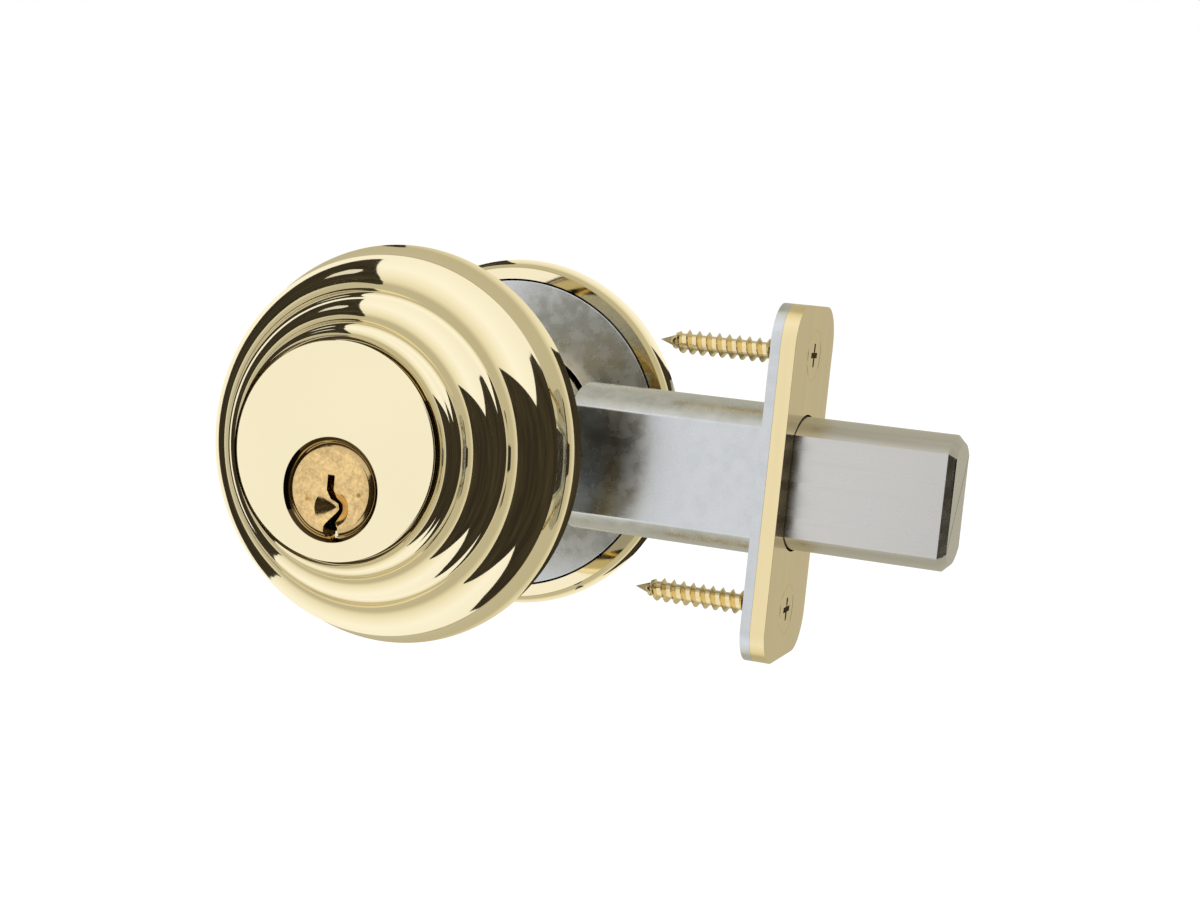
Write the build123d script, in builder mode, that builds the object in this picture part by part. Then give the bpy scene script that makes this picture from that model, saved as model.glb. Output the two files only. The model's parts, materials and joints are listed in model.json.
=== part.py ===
"""Double-cylinder tubular deadbolt, assembled as it sits in a door.

Origin: where the axis of the cross bore meets the bolt axis, in the middle of the door.
-Y is outside, +Y is inside, +X runs to the edge of the door and +Z is up. Millimetres.
The bolt is thrown and both plugs stand upright.
"""
import os
from math import cos, radians, sin
from build123d import *

# ---- door preparation ----
DOOR = 44.45                    # door thickness
BACKSET = 60.325                # cross bore axis to the door's edge
THROW = 25.4                    # travel of the bolt
CAM_Z = -5.8                    # plug and cam axis, below the bolt axis

# ---- collar: radius r from its axis, height h out from the door face ----
FLANGE_R = 31.75
FLANGE_H = 2.8                  # height of the widest ring
BASE_R = 30.2                   # outer edge of the ring that lies on the door
SKIRT_R = 28.2                  # inside of that ring
CREASE = (29.9, 7.8)            # sharp line between the flange and the largest rib
GROOVE_2 = (23.95, 14.2)        # valley between the large and the middle rib
GROOVE_1 = (19.3, 19.7)         # valley between the middle and the small rib
LIP = (17.2, 22.65)             # front edge of the collar
RIB_BULGES = (1.25, 1.3, 0.75)  # how far each rib stands out from its chord
FLANGE_BULGE = 0.47
BASE_BULGE = 0.4
LEDGE_R = 16.1                  # hole that the cylinder body goes through
LEDGE_H = (19.5, 21.1)          # back and front of the ledge round that hole
LEDGE_BACK_R = 17.9
INNER_WALL = ((22.4, 13.0), (SKIRT_R, 6.6))

# ---- cylinder housing ----
HEAD_R = 16.65
FACE_H = 23.1                   # front of the housing
BODY_R = 15.9
BODY_BACK = -7.0                # height of the back of the body
FACE_EDGE = 0.3                 # edge break round the face

# ---- plug ----
PLUG_R = 6.3
PLUG_HEAD_R = 7.2
PLUG_SHOULDER_H = 20.9
PLUG_RIM_H = 22.3               # where the chamfer round the plug's face starts
PLUG_FACE_R = 6.45
PLUG_FACE_H = 22.95
RUN = 0.05                      # radial clearance of the running fits
HOLE_RIM_R = 7.93               # chamfered mouth of the plug's hole
NECK_R = 5.0
NECK_L = 2.0
LUG_R = (3.0, 4.9)              # inner and outer radius of the driving lugs
LUG_L = 1.2
LUG_ANGLE = 84
GAP = 0.1                       # end play between stacked pieces
DIMPLE_AT = (0.4, -2.75)        # conical lead-in beside the keyway
DIMPLE_R = 2.85
DIMPLE_DEPTH = 1.7
KEYWAY = [                      # round the keyway, from its top left corner, plug centre at 0
    (-0.62, 2.25), (-0.62, -0.1), (-0.28, -1.5), (0.79, -2.1), (0.97, -3.0), (-0.42, -5.0),
    (-0.7, -5.6), (-0.7, -6.6), (-0.4, -7.4), (0.9, -7.4), (1.78, -6.65), (1.67, -5.5),
    (0.98, -5.0), (1.94, -3.0), (1.84, -2.0), (0.85, -1.25), (0.55, -0.1), (0.55, 2.25),
]

# ---- pin stacks ----
PIN_R = 1.42
CHAMBER_R = 1.46
FIRST_PIN_H = 16.4
PIN_PITCH = 3.96
KEY_PIN_LENGTHS = (5.2, 6.4, 5.6, 6.8, 4.9)
KEY_PIN_TOP = 6.1               # from the plug axis, just below the shear line
CHAMBER_FLOOR = -3.3            # from the plug axis
DRIVER_BOTTOM = 6.42            # from the plug axis, just above the shear line
DRIVER_L = 5.0
COVER_Z = (14.0, 15.5)          # strip over the chambers, from the housing axis
COVER_W = 3.96
COVER_H = (-2.0, 19.0)
COIL_R = 1.15
WIRE_R = 0.17
COIL_TURNS = 6

# ---- tailpiece and plug cap ----
DISC_L = 1.0
CAP_R = 7.4
CAP_FLANGE = 0.8
CAP_HOLE_R = 2.9
BLADE = (1.8, 5.2)              # thickness, width
BLADE_GAP = 0.3                 # from the middle of the door to each blade's end

# ---- clamp nuts, plates and long screws ----
NUT_FIT = 0.02
OUTSIDE_NUT = (18.6, -7.0, -4.6)        # outer radius, back, front
INSIDE_NUT = (17.6, 17.0, 19.4)
TIE_PLATE = (26.4, -4.5, -2.0)          # outer radius, back, front
TIE_HOLE_R = 16.0
BOSS_R = 4.0
BOSS_TOP = 1.5
MOUNT_PLATE_R = 27.9
MOUNT_PLATE_T = 2.0
MOUNT_HOLE_R = 16.4
MOUNT_RIM_L = 5.0
MOUNT_RIM_T = 1.3
SCREW_X = 20.6
SCREW_R = 2.0
SCREW_HEAD_R = 4.0
SCREW_HEAD_L = 2.6
SCREW_REACH = 1.2               # how far the tip passes the outside door face
SET_SCREW_ANGLES = (-120, -60)
SET_SCREW_H = 3.4
SET_SCREW_R = 1.5
SET_SCREW_L = 3.2

# ---- latch ----
PLATE = (25.4, 57.15, 2.4)      # faceplate width, height, thickness
PLATE_CORNER = 6.35
BACKING_T = 1.6
PLATE_SCREW_Z = 20.65
WOOD_SCREW_R = 2.0              # outside of the thread
WOOD_SHANK_R = 1.6              # plain shank under the head
WOOD_SHANK_PAST_PLATES = 0.4
WOOD_SCREW_HEAD_R = 4.1
WOOD_SCREW_HEAD_L = WOOD_SCREW_HEAD_R - WOOD_SHANK_R
WOOD_SCREW_L = 26.0
BOLT_R = 10.8
BOLT_FLAT = 7.15                # half the bolt's thickness
BOLT_L = 36.0
BOLT_GAP = 0.3
BARREL_R = 12.3
BARREL_FLAT = 8.6
BARREL_FIT = 0.05               # around the barrel where it is staked into the backing plate
BARREL_X = 22.9                 # back of the barrel
END_PLATE_T = 1.2
CAGE_Y = (5.0, 6.2)             # inner and outer faces of the cage plates
CAGE_X = -24.5
CAGE_Z = (-10.9, 9.5)
CAGE_CORNER = 5.0
CAGE_SCREW_HOLE_R = 2.6
RIVETS = ((11.5, -7.6), (-11.5, -7.6), (-22.0, 2.0))
RIVET_R = 1.6
RIVET_HEAD_R = 2.4
RIVET_HEAD_L = 0.7

# ---- bolt tail, cam and pins ----
CRANK_R = THROW / 2 / sin(radians(45))
CRANK_X = THROW / 2
CRANK_Z = CAM_Z + CRANK_X
TAIL_T = 2.2
TAIL_Z = (2.6, 9.0)
TAIL_IN_BOLT = 7.0
FORK_SLOT = 4.3                 # wider than the crank pin: its arc is not quite in step with the slide
FORK_PRONG = 3.2
FORK_TOP = 12.6
FORK_FLOOR = 4.9
TAIL_PIN_R = 1.5
CRANK_PIN_R = 1.5
ARM_Y = (1.9, 3.6)
ARM_HALF = 2.6
HUB_R = 4.4
HUB_Y = 4.8
JOURNAL_R = 3.6
SAW_PIN_R = 3.0
SAW_PIN_Z = -3.6
SAW_PIN_L = 27.0
SAW_PIN_FIT = 0.08
SAW_CAP_L = 2.0

BOLT_REAR = BACKSET + THROW - BOLT_L
PLATE_BACK = BACKSET - PLATE[2]
BACKING_BACK = PLATE_BACK - BACKING_T
PIN_HEIGHTS = [FIRST_PIN_H - i * PIN_PITCH for i in range(len(KEY_PIN_LENGTHS))]
OUTSIDE = Plane(origin=(0, -DOOR / 2, 0), x_dir=(1, 0, 0), z_dir=(0, -1, 0))
INSIDE = Plane(origin=(0, DOOR / 2, 0), x_dir=(-1, 0, 0), z_dir=(0, 1, 0))
SIDES = {"outside": OUTSIDE, "inside": INSIDE}


def save(builder, name):
    """Label a finished piece and write it."""
    builder.part.label = name
    export_step(builder.part, f"parts/{name}.step")


def place(door_face, across, up, height):
    """Point at (across, up, height) as seen from the side that a door face looks to."""
    return door_face.origin + door_face.x_dir * across + door_face.y_dir * up + door_face.z_dir * height


def radial_plane(door_face, up=0.0):
    """Plane for outlines (radius, height) about an axis that stands on the door face."""
    return Plane(origin=place(door_face, 0, up, 0), x_dir=door_face.x_dir, z_dir=-door_face.y_dir)


def turning_axis(door_face, up=0.0):
    return Axis(place(door_face, 0, up, 0), door_face.z_dir)


# ---- one side of the door ----
def make_collar(door_face, name, set_screw_angles=()):
    with BuildPart() as collar:
        with BuildSketch(radial_plane(door_face)):
            with BuildLine():
                SagittaArc((BASE_R, 0), (FLANGE_R, FLANGE_H), -BASE_BULGE)
                SagittaArc((FLANGE_R, FLANGE_H), CREASE, -FLANGE_BULGE)
                SagittaArc(CREASE, GROOVE_2, -RIB_BULGES[0])
                SagittaArc(GROOVE_2, GROOVE_1, -RIB_BULGES[1])
                SagittaArc(GROOVE_1, LIP, -RIB_BULGES[2])
                Polyline(LIP, (LIP[0], LEDGE_H[1]), (LEDGE_R, LEDGE_H[1]), (LEDGE_R, LEDGE_H[0]),
                         (LEDGE_BACK_R, LEDGE_H[0]), *INNER_WALL, (SKIRT_R, 0), (BASE_R, 0))
            make_face()
        revolve(axis=turning_axis(door_face))
        for angle in set_screw_angles:
            outward = door_face.x_dir * cos(radians(angle)) + door_face.y_dir * sin(radians(angle))
            centre = place(door_face, 0, 0, SET_SCREW_H)
            with BuildSketch(Plane(origin=centre + outward * MOUNT_PLATE_R, z_dir=outward)):
                Circle(SET_SCREW_R + RUN)
            extrude(amount=FLANGE_R - SKIRT_R + 1, mode=Mode.SUBTRACT)
    save(collar, name)


def make_housing(door_face, name):
    bore_r = PLUG_R + RUN
    head_bore_r = PLUG_HEAD_R + RUN
    with BuildPart() as housing:
        with BuildSketch(radial_plane(door_face)):
            with BuildLine():
                Polyline((0, FACE_H), (HEAD_R - FACE_EDGE, FACE_H), (HEAD_R, FACE_H - FACE_EDGE),
                         (HEAD_R, LEDGE_H[1]), (BODY_R, LEDGE_H[1]), (BODY_R, BODY_BACK), (0, BODY_BACK),
                         close=True)
            make_face()
        revolve(axis=turning_axis(door_face))
        with BuildSketch(radial_plane(door_face, CAM_Z)):
            with BuildLine():
                Polyline((0, FACE_H), (HOLE_RIM_R, FACE_H), (head_bore_r, PLUG_RIM_H),
                         (head_bore_r, PLUG_SHOULDER_H - GAP), (bore_r, PLUG_SHOULDER_H - GAP),
                         (bore_r, BODY_BACK), (0, BODY_BACK), close=True)
            make_face()
        revolve(axis=turning_axis(door_face, CAM_Z), mode=Mode.SUBTRACT)
        with BuildSketch(Plane(origin=place(door_face, 0, 0, 0), x_dir=door_face.x_dir,
                               z_dir=door_face.y_dir)):
            with Locations([(0, -height) for height in PIN_HEIGHTS]):
                Circle(CHAMBER_R)
        extrude(amount=COVER_Z[0] + GAP, mode=Mode.SUBTRACT)
        slot_h = COVER_H[1] - COVER_H[0] + 2 * RUN
        with BuildSketch(Plane(origin=place(door_face, 0, COVER_Z[0], sum(COVER_H) / 2),
                               x_dir=door_face.x_dir, z_dir=door_face.y_dir)):
            Rectangle(COVER_W + 2 * RUN, slot_h)
        extrude(amount=BODY_R - COVER_Z[0], mode=Mode.SUBTRACT)
    save(housing, name)


def make_spring_cover(door_face, name):
    with BuildPart() as cover:
        with BuildSketch(Plane(origin=place(door_face, 0, COVER_Z[0], sum(COVER_H) / 2),
                               x_dir=door_face.x_dir, z_dir=door_face.y_dir)):
            Rectangle(COVER_W, COVER_H[1] - COVER_H[0])
        extrude(amount=COVER_Z[1] - COVER_Z[0])
    save(cover, name)


def make_plug(door_face, name):
    neck_end = BODY_BACK - NECK_L
    with BuildPart() as plug:
        with BuildSketch(radial_plane(door_face, CAM_Z)):
            with BuildLine():
                Polyline((0, PLUG_FACE_H), (PLUG_FACE_R, PLUG_FACE_H), (PLUG_HEAD_R, PLUG_RIM_H),
                         (PLUG_HEAD_R, PLUG_SHOULDER_H), (PLUG_R, PLUG_SHOULDER_H), (PLUG_R, BODY_BACK),
                         (NECK_R, BODY_BACK), (NECK_R, neck_end), (0, neck_end), close=True)
            make_face()
        revolve(axis=turning_axis(door_face, CAM_Z))
        axis_plane = Plane(origin=place(door_face, 0, CAM_Z, 0), x_dir=door_face.x_dir,
                           z_dir=door_face.z_dir)
        with BuildSketch(axis_plane.offset(neck_end)):
            Polygon(*KEYWAY, align=None)
        extrude(amount=PLUG_FACE_H - neck_end, mode=Mode.SUBTRACT)
        dimple_floor = PLUG_FACE_H - DIMPLE_DEPTH
        with BuildSketch(axis_plane.offset(PLUG_FACE_H)):
            with Locations(DIMPLE_AT):
                Circle(DIMPLE_R)
        with BuildSketch(axis_plane.offset(dimple_floor)):
            with Locations(DIMPLE_AT):
                Circle(DIMPLE_R / 8)
        loft(mode=Mode.SUBTRACT)
        with BuildSketch(Plane(origin=place(door_face, 0, CAM_Z + CHAMBER_FLOOR, 0),
                               x_dir=door_face.x_dir, z_dir=door_face.y_dir)):
            with Locations([(0, -height) for height in PIN_HEIGHTS]):
                Circle(CHAMBER_R)
        extrude(amount=PLUG_R - CHAMBER_FLOOR + 1, mode=Mode.SUBTRACT)
        with BuildSketch(axis_plane.offset(neck_end - LUG_L)):
            lug_sector(90)
        extrude(amount=LUG_L)
    save(plug, name)


def lug_sector(middle):
    """Sketch of a driving lug, a piece of a ring centred on the angle middle."""
    reach = 1.5 * LUG_R[1]
    low = radians(middle - LUG_ANGLE / 2)
    high = radians(middle + LUG_ANGLE / 2)
    Circle(LUG_R[1])
    Polygon((0, 0), (reach * cos(low), reach * sin(low)), (reach * cos(high), reach * sin(high)),
            align=None, mode=Mode.INTERSECT)
    Circle(LUG_R[0], mode=Mode.SUBTRACT)


def make_plug_cap(door_face, name):
    flange_back = BODY_BACK - NECK_L - LUG_L - DISC_L - 3 * GAP - CAP_FLANGE
    flange_front = flange_back + CAP_FLANGE
    with BuildPart() as cap:
        with BuildSketch(radial_plane(door_face, CAM_Z)):
            with BuildLine():
                Polyline((CAP_HOLE_R, flange_back), (CAP_R, flange_back), (CAP_R, BODY_BACK - GAP),
                         (NECK_R + NUT_FIT, BODY_BACK - GAP), (NECK_R + NUT_FIT, flange_front),
                         (CAP_HOLE_R, flange_front), close=True)
            make_face()
        revolve(axis=turning_axis(door_face, CAM_Z))
    save(cap, name)


def make_tailpiece(door_face, name):
    neck_end = BODY_BACK - NECK_L
    disc_front = neck_end - LUG_L - GAP
    blade_l = DOOR / 2 + disc_front - DISC_L - BLADE_GAP
    axis_plane = Plane(origin=place(door_face, 0, CAM_Z, 0), x_dir=door_face.x_dir,
                       z_dir=door_face.z_dir)
    with BuildPart() as tailpiece:
        with BuildSketch(axis_plane.offset(disc_front - DISC_L)):
            Circle(LUG_R[1])
        extrude(amount=DISC_L)
        with BuildSketch(axis_plane.offset(disc_front)):
            lug_sector(-90)
        extrude(amount=LUG_L)
        with BuildSketch(axis_plane.offset(disc_front - DISC_L)):
            Rectangle(*BLADE)
        extrude(amount=-blade_l)
    save(tailpiece, name)


def make_key_pins(door_face, name):
    with BuildPart() as pins:
        for height, length in zip(PIN_HEIGHTS, KEY_PIN_LENGTHS):
            bottom = place(door_face, 0, CAM_Z + KEY_PIN_TOP - length, height)
            with BuildSketch(Plane(origin=bottom, x_dir=door_face.x_dir, z_dir=door_face.y_dir)):
                Circle(PIN_R)
            extrude(amount=length)
        chamfer(pins.edges().filter_by(GeomType.CIRCLE).group_by(Axis.Z)[:-1], length=0.5)
    save(pins, name)


def make_driver_pins(door_face, name):
    with BuildPart() as pins:
        with BuildSketch(Plane(origin=place(door_face, 0, CAM_Z + DRIVER_BOTTOM, 0),
                               x_dir=door_face.x_dir, z_dir=door_face.y_dir)):
            with Locations([(0, -height) for height in PIN_HEIGHTS]):
                Circle(PIN_R)
        extrude(amount=DRIVER_L)
        chamfer(pins.edges().filter_by(GeomType.CIRCLE).group_by(Axis.Z)[-1], length=0.3)
    save(pins, name)


def make_pin_springs(door_face, name):
    bottom = CAM_Z + DRIVER_BOTTOM + DRIVER_L + WIRE_R + RUN
    coil_l = COVER_Z[0] - bottom - WIRE_R - RUN
    with BuildPart() as springs:
        for height in PIN_HEIGHTS:
            with BuildLine():
                coil = Helix(pitch=coil_l / COIL_TURNS, height=coil_l, radius=COIL_R,
                             center=place(door_face, 0, bottom, height))
            with BuildSketch(Plane(origin=coil @ 0, z_dir=coil % 0)):
                Circle(WIRE_R)
            sweep(path=coil, is_frenet=True)
    save(springs, name)


def make_clamp_nut(door_face, name, outer_r, back, front):
    with BuildPart() as nut:
        with BuildSketch(door_face.offset(back)):
            Circle(outer_r)
            Circle(BODY_R + NUT_FIT, mode=Mode.SUBTRACT)
        extrude(amount=front - back)
        with BuildSketch(door_face.offset(back)):
            with PolarLocations(outer_r, 4):
                Rectangle(1.6, 3.0)
        extrude(amount=front - back, mode=Mode.SUBTRACT)
    save(nut, name)


# ---- pieces that belong to one side only ----
def make_tie_plate(name):
    outer_r, back, front = TIE_PLATE
    with BuildPart() as plate:
        with BuildSketch(OUTSIDE.offset(back)):
            Circle(outer_r)
            Circle(TIE_HOLE_R, mode=Mode.SUBTRACT)
        extrude(amount=front - back)
        with BuildSketch(OUTSIDE.offset(front)):
            with Locations((SCREW_X, CAM_Z), (-SCREW_X, CAM_Z)):
                Circle(BOSS_R)
        extrude(amount=BOSS_TOP - front)
        with BuildSketch(OUTSIDE.offset(back)):
            with Locations((SCREW_X, CAM_Z), (-SCREW_X, CAM_Z)):
                Circle(SCREW_R + NUT_FIT)
        extrude(amount=BOSS_TOP - back, mode=Mode.SUBTRACT)
    save(plate, name)


def make_mounting_plate(name):
    with BuildPart() as plate:
        with BuildSketch(INSIDE):
            Circle(MOUNT_PLATE_R)
        extrude(amount=MOUNT_RIM_L)
        with BuildSketch(INSIDE.offset(MOUNT_PLATE_T)):
            Circle(MOUNT_PLATE_R - MOUNT_RIM_T)
        extrude(amount=MOUNT_RIM_L - MOUNT_PLATE_T, mode=Mode.SUBTRACT)
        with BuildSketch(INSIDE):
            Circle(MOUNT_HOLE_R)
            with Locations((SCREW_X, CAM_Z), (-SCREW_X, CAM_Z)):
                Circle(SCREW_R + 0.3)
        extrude(amount=MOUNT_PLATE_T, mode=Mode.SUBTRACT)
    save(plate, name)


def make_mounting_screws(name):
    shank = DOOR + MOUNT_PLATE_T + SCREW_REACH
    with BuildPart() as screws:
        with BuildSketch(INSIDE.offset(MOUNT_PLATE_T)):
            with Locations((SCREW_X, CAM_Z), (-SCREW_X, CAM_Z)):
                Circle(SCREW_R)
        extrude(amount=-shank)
        with BuildSketch(INSIDE.offset(MOUNT_PLATE_T)):
            with Locations((SCREW_X, CAM_Z), (-SCREW_X, CAM_Z)):
                Circle(SCREW_HEAD_R)
        extrude(amount=SCREW_HEAD_L)
        fillet(screws.edges().filter_by(GeomType.CIRCLE).sort_by(Axis.Y)[-2:], radius=1.0)
        with BuildSketch(INSIDE.offset(MOUNT_PLATE_T + SCREW_HEAD_L)):
            with Locations((SCREW_X, CAM_Z), (-SCREW_X, CAM_Z)):
                Rectangle(4.2, 0.9)
                Rectangle(0.9, 4.2)
        extrude(amount=-1.6, mode=Mode.SUBTRACT)
    save(screws, name)


def make_set_screws(name):
    centre = place(INSIDE, 0, 0, SET_SCREW_H)
    with BuildPart() as screws:
        for angle in SET_SCREW_ANGLES:
            outward = INSIDE.x_dir * cos(radians(angle)) + INSIDE.y_dir * sin(radians(angle))
            with BuildSketch(Plane(origin=centre + outward * (MOUNT_PLATE_R + NUT_FIT), z_dir=outward)):
                Circle(SET_SCREW_R)
            extrude(amount=SET_SCREW_L)
            head = centre + outward * (MOUNT_PLATE_R + NUT_FIT + SET_SCREW_L)
            with BuildSketch(Plane(origin=head, z_dir=outward)):
                RegularPolygon(radius=0.8, side_count=6)
            extrude(amount=-1.5, mode=Mode.SUBTRACT)
    save(screws, name)


# ---- latch ----
def oblong(radius, half_thickness):
    """Sketch of a circle with flats on the two sides that face the door's faces."""
    Circle(radius)
    Rectangle(2 * half_thickness, 2 * radius, mode=Mode.INTERSECT)


def make_plate(name, front, thickness, corner, hole, countersunk):
    """Faceplate or its backing plate, with an oblong hole and two screw holes."""
    with BuildPart() as plate:
        with BuildSketch(Plane.YZ.offset(front - thickness)):
            RectangleRounded(PLATE[0], PLATE[1], corner)
        extrude(amount=thickness)
        with BuildSketch(Plane.YZ.offset(front - thickness)):
            oblong(*hole)
        extrude(amount=thickness, mode=Mode.SUBTRACT)
        with Locations(Plane.YZ.offset(front)):
            with Locations((0, PLATE_SCREW_Z), (0, -PLATE_SCREW_Z)):
                if countersunk:
                    CounterSinkHole(radius=WOOD_SCREW_R + 0.2, counter_sink_radius=WOOD_SCREW_HEAD_R + 0.1,
                                    depth=thickness, counter_sink_angle=90)
                else:
                    Hole(radius=WOOD_SCREW_R + 0.2, depth=thickness)
    save(plate, name)


def make_barrel(name):
    """Sleeve of the bolt, staked into the backing plate."""
    length = PLATE_BACK - BARREL_X
    with BuildPart() as barrel:
        with BuildSketch(Plane.YZ.offset(BARREL_X)):
            oblong(BARREL_R, BARREL_FLAT)
        extrude(amount=length)
        with BuildSketch(Plane.YZ.offset(BARREL_X)):
            oblong(BOLT_R + BOLT_GAP, BOLT_FLAT + BOLT_GAP)
        extrude(amount=length, mode=Mode.SUBTRACT)
    save(barrel, name)


def make_end_plate(name):
    with BuildPart() as plate:
        with BuildSketch(Plane.YZ.offset(BARREL_X)):
            oblong(BOLT_R + BOLT_GAP - NUT_FIT, BOLT_FLAT + BOLT_GAP - NUT_FIT)
            with Locations((0, sum(TAIL_Z) / 2)):
                Rectangle(TAIL_T + 0.8, TAIL_Z[1] - TAIL_Z[0] + 0.8, mode=Mode.SUBTRACT)
        extrude(amount=END_PLATE_T)
    save(plate, name)


def make_cage_plate(name, side):
    """side is 1 for the plate nearer the outside and -1 for the other."""
    thickness = CAGE_Y[1] - CAGE_Y[0]
    plane = Plane.XZ.offset(CAGE_Y[0] if side > 0 else -CAGE_Y[1])
    length = BARREL_X - CAGE_X
    height = CAGE_Z[1] - CAGE_Z[0]
    with BuildPart() as plate:
        with BuildSketch(plane):
            with Locations((CAGE_X + length / 2, CAGE_Z[0] + height / 2)):
                Rectangle(length, height)
            chamfer(plate_corners(), length=CAGE_CORNER)
            with Locations((0, CAM_Z)):
                Circle(JOURNAL_R + RUN, mode=Mode.SUBTRACT)
            with Locations((SCREW_X - 0.4, CAM_Z), (-SCREW_X, CAM_Z)):
                Circle(CAGE_SCREW_HOLE_R, mode=Mode.SUBTRACT)
            with Locations(*RIVETS):
                Circle(RIVET_R + NUT_FIT, mode=Mode.SUBTRACT)
        extrude(amount=thickness)
    save(plate, name)


def plate_corners():
    """The two rear corners of the cage plate that is being drawn."""
    return BuildSketch._get_context().vertices().group_by(Axis.X)[0]


def make_rivets(name):
    with BuildPart() as rivets:
        with BuildSketch(Plane.XZ.offset(-CAGE_Y[1])):
            with Locations(*RIVETS):
                Circle(RIVET_R)
        extrude(amount=2 * CAGE_Y[1])
        for start in (CAGE_Y[1], -CAGE_Y[1] - RIVET_HEAD_L):
            with BuildSketch(Plane.XZ.offset(start)):
                with Locations(*RIVETS):
                    Circle(RIVET_HEAD_R)
            extrude(amount=RIVET_HEAD_L)
        with BuildSketch(Plane.XZ.offset(-CAGE_Y[0])):
            with Locations(*RIVETS):
                Circle(RIVET_HEAD_R)
        extrude(amount=2 * CAGE_Y[0])
    save(rivets, name)


def make_bolt(name):
    with BuildPart() as bolt:
        with BuildSketch(Plane.YZ.offset(BOLT_REAR)):
            oblong(BOLT_R, BOLT_FLAT)
        extrude(amount=BOLT_L)
        chamfer(bolt.faces().sort_by(Axis.X)[-1].edges(), length=1.2)
        with BuildSketch(Plane.YZ.offset(BOLT_REAR)):
            with Locations((0, sum(TAIL_Z) / 2)):
                Rectangle(TAIL_T + 2 * RUN, TAIL_Z[1] - TAIL_Z[0] + 2 * RUN)
        extrude(amount=TAIL_IN_BOLT + GAP, mode=Mode.SUBTRACT)
        with BuildSketch(Plane.YZ.offset(BOLT_REAR)):
            with Locations((0, SAW_PIN_Z)):
                Circle(SAW_PIN_R + SAW_PIN_FIT)
        extrude(amount=SAW_CAP_L + SAW_PIN_L + 2 * GAP, mode=Mode.SUBTRACT)
        with BuildSketch(Plane.XZ.offset(-BOLT_FLAT)):
            with Locations((BOLT_REAR + TAIL_IN_BOLT / 2, sum(TAIL_Z) / 2)):
                Circle(TAIL_PIN_R + NUT_FIT)
        extrude(amount=2 * BOLT_FLAT, mode=Mode.SUBTRACT)
    save(bolt, name)


def make_bolt_tail(name):
    front = BOLT_REAR + TAIL_IN_BOLT
    rear = CRANK_X - FORK_SLOT / 2 - FORK_PRONG
    slot = (CRANK_X - FORK_SLOT / 2, CRANK_X + FORK_SLOT / 2)
    with BuildPart() as tail:
        with BuildSketch(Plane.XZ.offset(-TAIL_T / 2)):
            with BuildLine():
                Polyline((rear, TAIL_Z[0]), (front, TAIL_Z[0]), (front, TAIL_Z[1]),
                         (slot[1] + FORK_PRONG, TAIL_Z[1]), (slot[1] + FORK_PRONG, FORK_TOP),
                         (slot[1], FORK_TOP), (slot[1], FORK_FLOOR), (slot[0], FORK_FLOOR),
                         (slot[0], FORK_TOP), (rear, FORK_TOP), close=True)
            make_face()
            with Locations((BOLT_REAR + TAIL_IN_BOLT / 2, sum(TAIL_Z) / 2)):
                Circle(TAIL_PIN_R + NUT_FIT, mode=Mode.SUBTRACT)
        extrude(amount=TAIL_T)
    save(tail, name)


def make_tail_pin(name):
    with BuildPart() as pin:
        with BuildSketch(Plane.XZ.offset(-BOLT_FLAT)):
            with Locations((BOLT_REAR + TAIL_IN_BOLT / 2, sum(TAIL_Z) / 2)):
                Circle(TAIL_PIN_R)
        extrude(amount=2 * BOLT_FLAT)
    save(pin, name)


def make_saw_pin(name):
    with BuildPart() as pin:
        with BuildSketch(Plane.YZ.offset(BOLT_REAR + SAW_CAP_L + GAP)):
            with Locations((0, SAW_PIN_Z)):
                Circle(SAW_PIN_R)
        extrude(amount=SAW_PIN_L)
        chamfer(pin.edges().filter_by(GeomType.CIRCLE), length=0.4)
    save(pin, name)


def make_saw_pin_cap(name):
    with BuildPart() as cap:
        with BuildSketch(Plane.YZ.offset(BOLT_REAR)):
            with Locations((0, SAW_PIN_Z)):
                Circle(SAW_PIN_R + SAW_PIN_FIT - NUT_FIT)
        extrude(amount=SAW_CAP_L)
    save(cap, name)


def make_cam(name):
    with BuildPart() as cam:
        with BuildSketch(Plane.XZ.offset(-HUB_Y)):
            with Locations((0, CAM_Z)):
                Circle(HUB_R)
        extrude(amount=2 * HUB_Y)
        with BuildSketch(Plane.XZ.offset(-CAGE_Y[1])):
            with Locations((0, CAM_Z)):
                Circle(JOURNAL_R)
        extrude(amount=2 * CAGE_Y[1])
        for start in (ARM_Y[0], -ARM_Y[1]):
            with BuildSketch(Plane.XZ.offset(start)):
                with Locations(Location((CRANK_X / 2, (CAM_Z + CRANK_Z) / 2), 45)):
                    Rectangle(CRANK_R, 2 * ARM_HALF)
                with Locations((CRANK_X, CRANK_Z)):
                    Circle(ARM_HALF)
                with Locations((CRANK_X, CRANK_Z)):
                    Circle(CRANK_PIN_R + NUT_FIT, mode=Mode.SUBTRACT)
            extrude(amount=ARM_Y[1] - ARM_Y[0])
        with BuildSketch(Plane.XZ.offset(-CAGE_Y[1])):
            with Locations((0, CAM_Z)):
                Rectangle(BLADE[0] + 2 * RUN, BLADE[1] + 2 * RUN)
        extrude(amount=2 * CAGE_Y[1], mode=Mode.SUBTRACT)
    save(cam, name)


def make_crank_pin(name):
    with BuildPart() as pin:
        with BuildSketch(Plane.XZ.offset(-ARM_Y[1])):
            with Locations((CRANK_X, CRANK_Z)):
                Circle(CRANK_PIN_R)
        extrude(amount=2 * ARM_Y[1])
    save(pin, name)


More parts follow.
